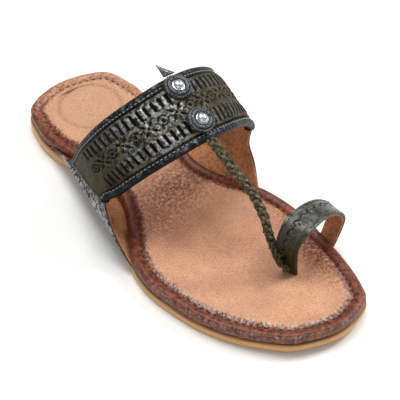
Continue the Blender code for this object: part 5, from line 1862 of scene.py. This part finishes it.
class InsoleOperator(bpy.types.Operator):
    """Make the wrapped insole with its gathered rim"""

    bl_idname = "sandal.insole"
    bl_label = "Insole"

    def execute(self, context):
        build_insole()
        return {"FINISHED"}


class StrapOperator(bpy.types.Operator):
    """Make the instep strap with its wings"""

    bl_idname = "sandal.strap"
    bl_label = "Instep strap"

    def execute(self, context):
        build_strap()
        return {"FINISHED"}


class PanelOperator(bpy.types.Operator):
    """Make the cut panel that lies on the strap"""

    bl_idname = "sandal.panel"
    bl_label = "Slit panel"

    def execute(self, context):
        build_panel()
        return {"FINISHED"}


class BindingOperator(bpy.types.Operator):
    """Make the bindings along the strap's edges"""

    bl_idname = "sandal.bindings"
    bl_label = "Bindings"

    def execute(self, context):
        build_binding("rear_binding_leather", 0, REAR_BINDING, "rear_binding")
        build_binding("front_binding_leather", 1, FRONT_BINDING, "front_binding")
        return {"FINISHED"}


class PlaitOperator(bpy.types.Operator):
    """Make the plait between the strap and the toe loop"""

    bl_idname = "sandal.plait"
    bl_label = "Plait"

    def execute(self, context):
        build_plait()
        return {"FINISHED"}


class LoopOperator(bpy.types.Operator):
    """Make the toe loop"""

    bl_idname = "sandal.loop"
    bl_label = "Toe loop"

    def execute(self, context):
        build_loop()
        return {"FINISHED"}


class RosetteOperator(bpy.types.Operator):
    """Make the rosettes, their domed studs and the horn"""

    bl_idname = "sandal.rosettes"
    bl_label = "Rosettes"

    def execute(self, context):
        for place, back in (("rear", REAR_ROSETTE_BACK), ("front", FRONT_ROSETTE_BACK)):
            build_rosette(f"rosette_{place}_leather", back, f"rosette_{place}")
            build_stud(f"stud_{place}_dome", back, f"stud_{place}")
        build_horn()
        return {"FINISHED"}


class StitchOperator(bpy.types.Operator):
    """Sew the rim, the bindings, the wings and the toe loop"""

    bl_idname = "sandal.stitches"
    bl_label = "Stitching"

    def execute(self, context):
        build_stitching()
        return {"FINISHED"}


OPERATORS = (
    StageOperator,
    OutsoleOperator,
    InsoleOperator,
    StrapOperator,
    PanelOperator,
    BindingOperator,
    PlaitOperator,
    LoopOperator,
    RosetteOperator,
    StitchOperator,
)


class SandalPanel(bpy.types.Panel):
    """Sidebar panel with the sandal's steps, sizes and colours"""

    bl_idname = "VIEW3D_PT_sandal"
    bl_label = "Sandal"
    bl_space_type = "VIEW_3D"
    bl_region_type = "UI"
    bl_category = "Sandal"

    def draw(self, context):
        for operator in OPERATORS:
            self.layout.operator(operator.bl_idname)
        for group in (context.scene.sandal_sizes, context.scene.sandal_colours):
            for name in group.bl_rna.properties.keys():
                if name not in ("rna_type", "name"):
                    self.layout.prop(group, name)


CLASSES = (SandalSizes, SandalColours, *OPERATORS, SandalPanel)


def register():
    """Register the add-on's classes and its settings on the scene."""
    for cls in CLASSES:
        bpy.utils.register_class(cls)
    bpy.types.Scene.sandal_sizes = bpy.props.PointerProperty(type=SandalSizes)
    bpy.types.Scene.sandal_colours = bpy.props.PointerProperty(type=SandalColours)


def unregister():
    """Take the add-on's classes and settings away again."""
    del bpy.types.Scene.sandal_colours
    del bpy.types.Scene.sandal_sizes
    for cls in reversed(CLASSES):
        bpy.utils.unregister_class(cls)


def main():
    """Register the add-on and make every piece in order."""
    register()
    for operator in OPERATORS:
        group, name = operator.bl_idname.split(".")
        getattr(getattr(bpy.ops, group), name)()


if __name__ == "__main__":
    main()
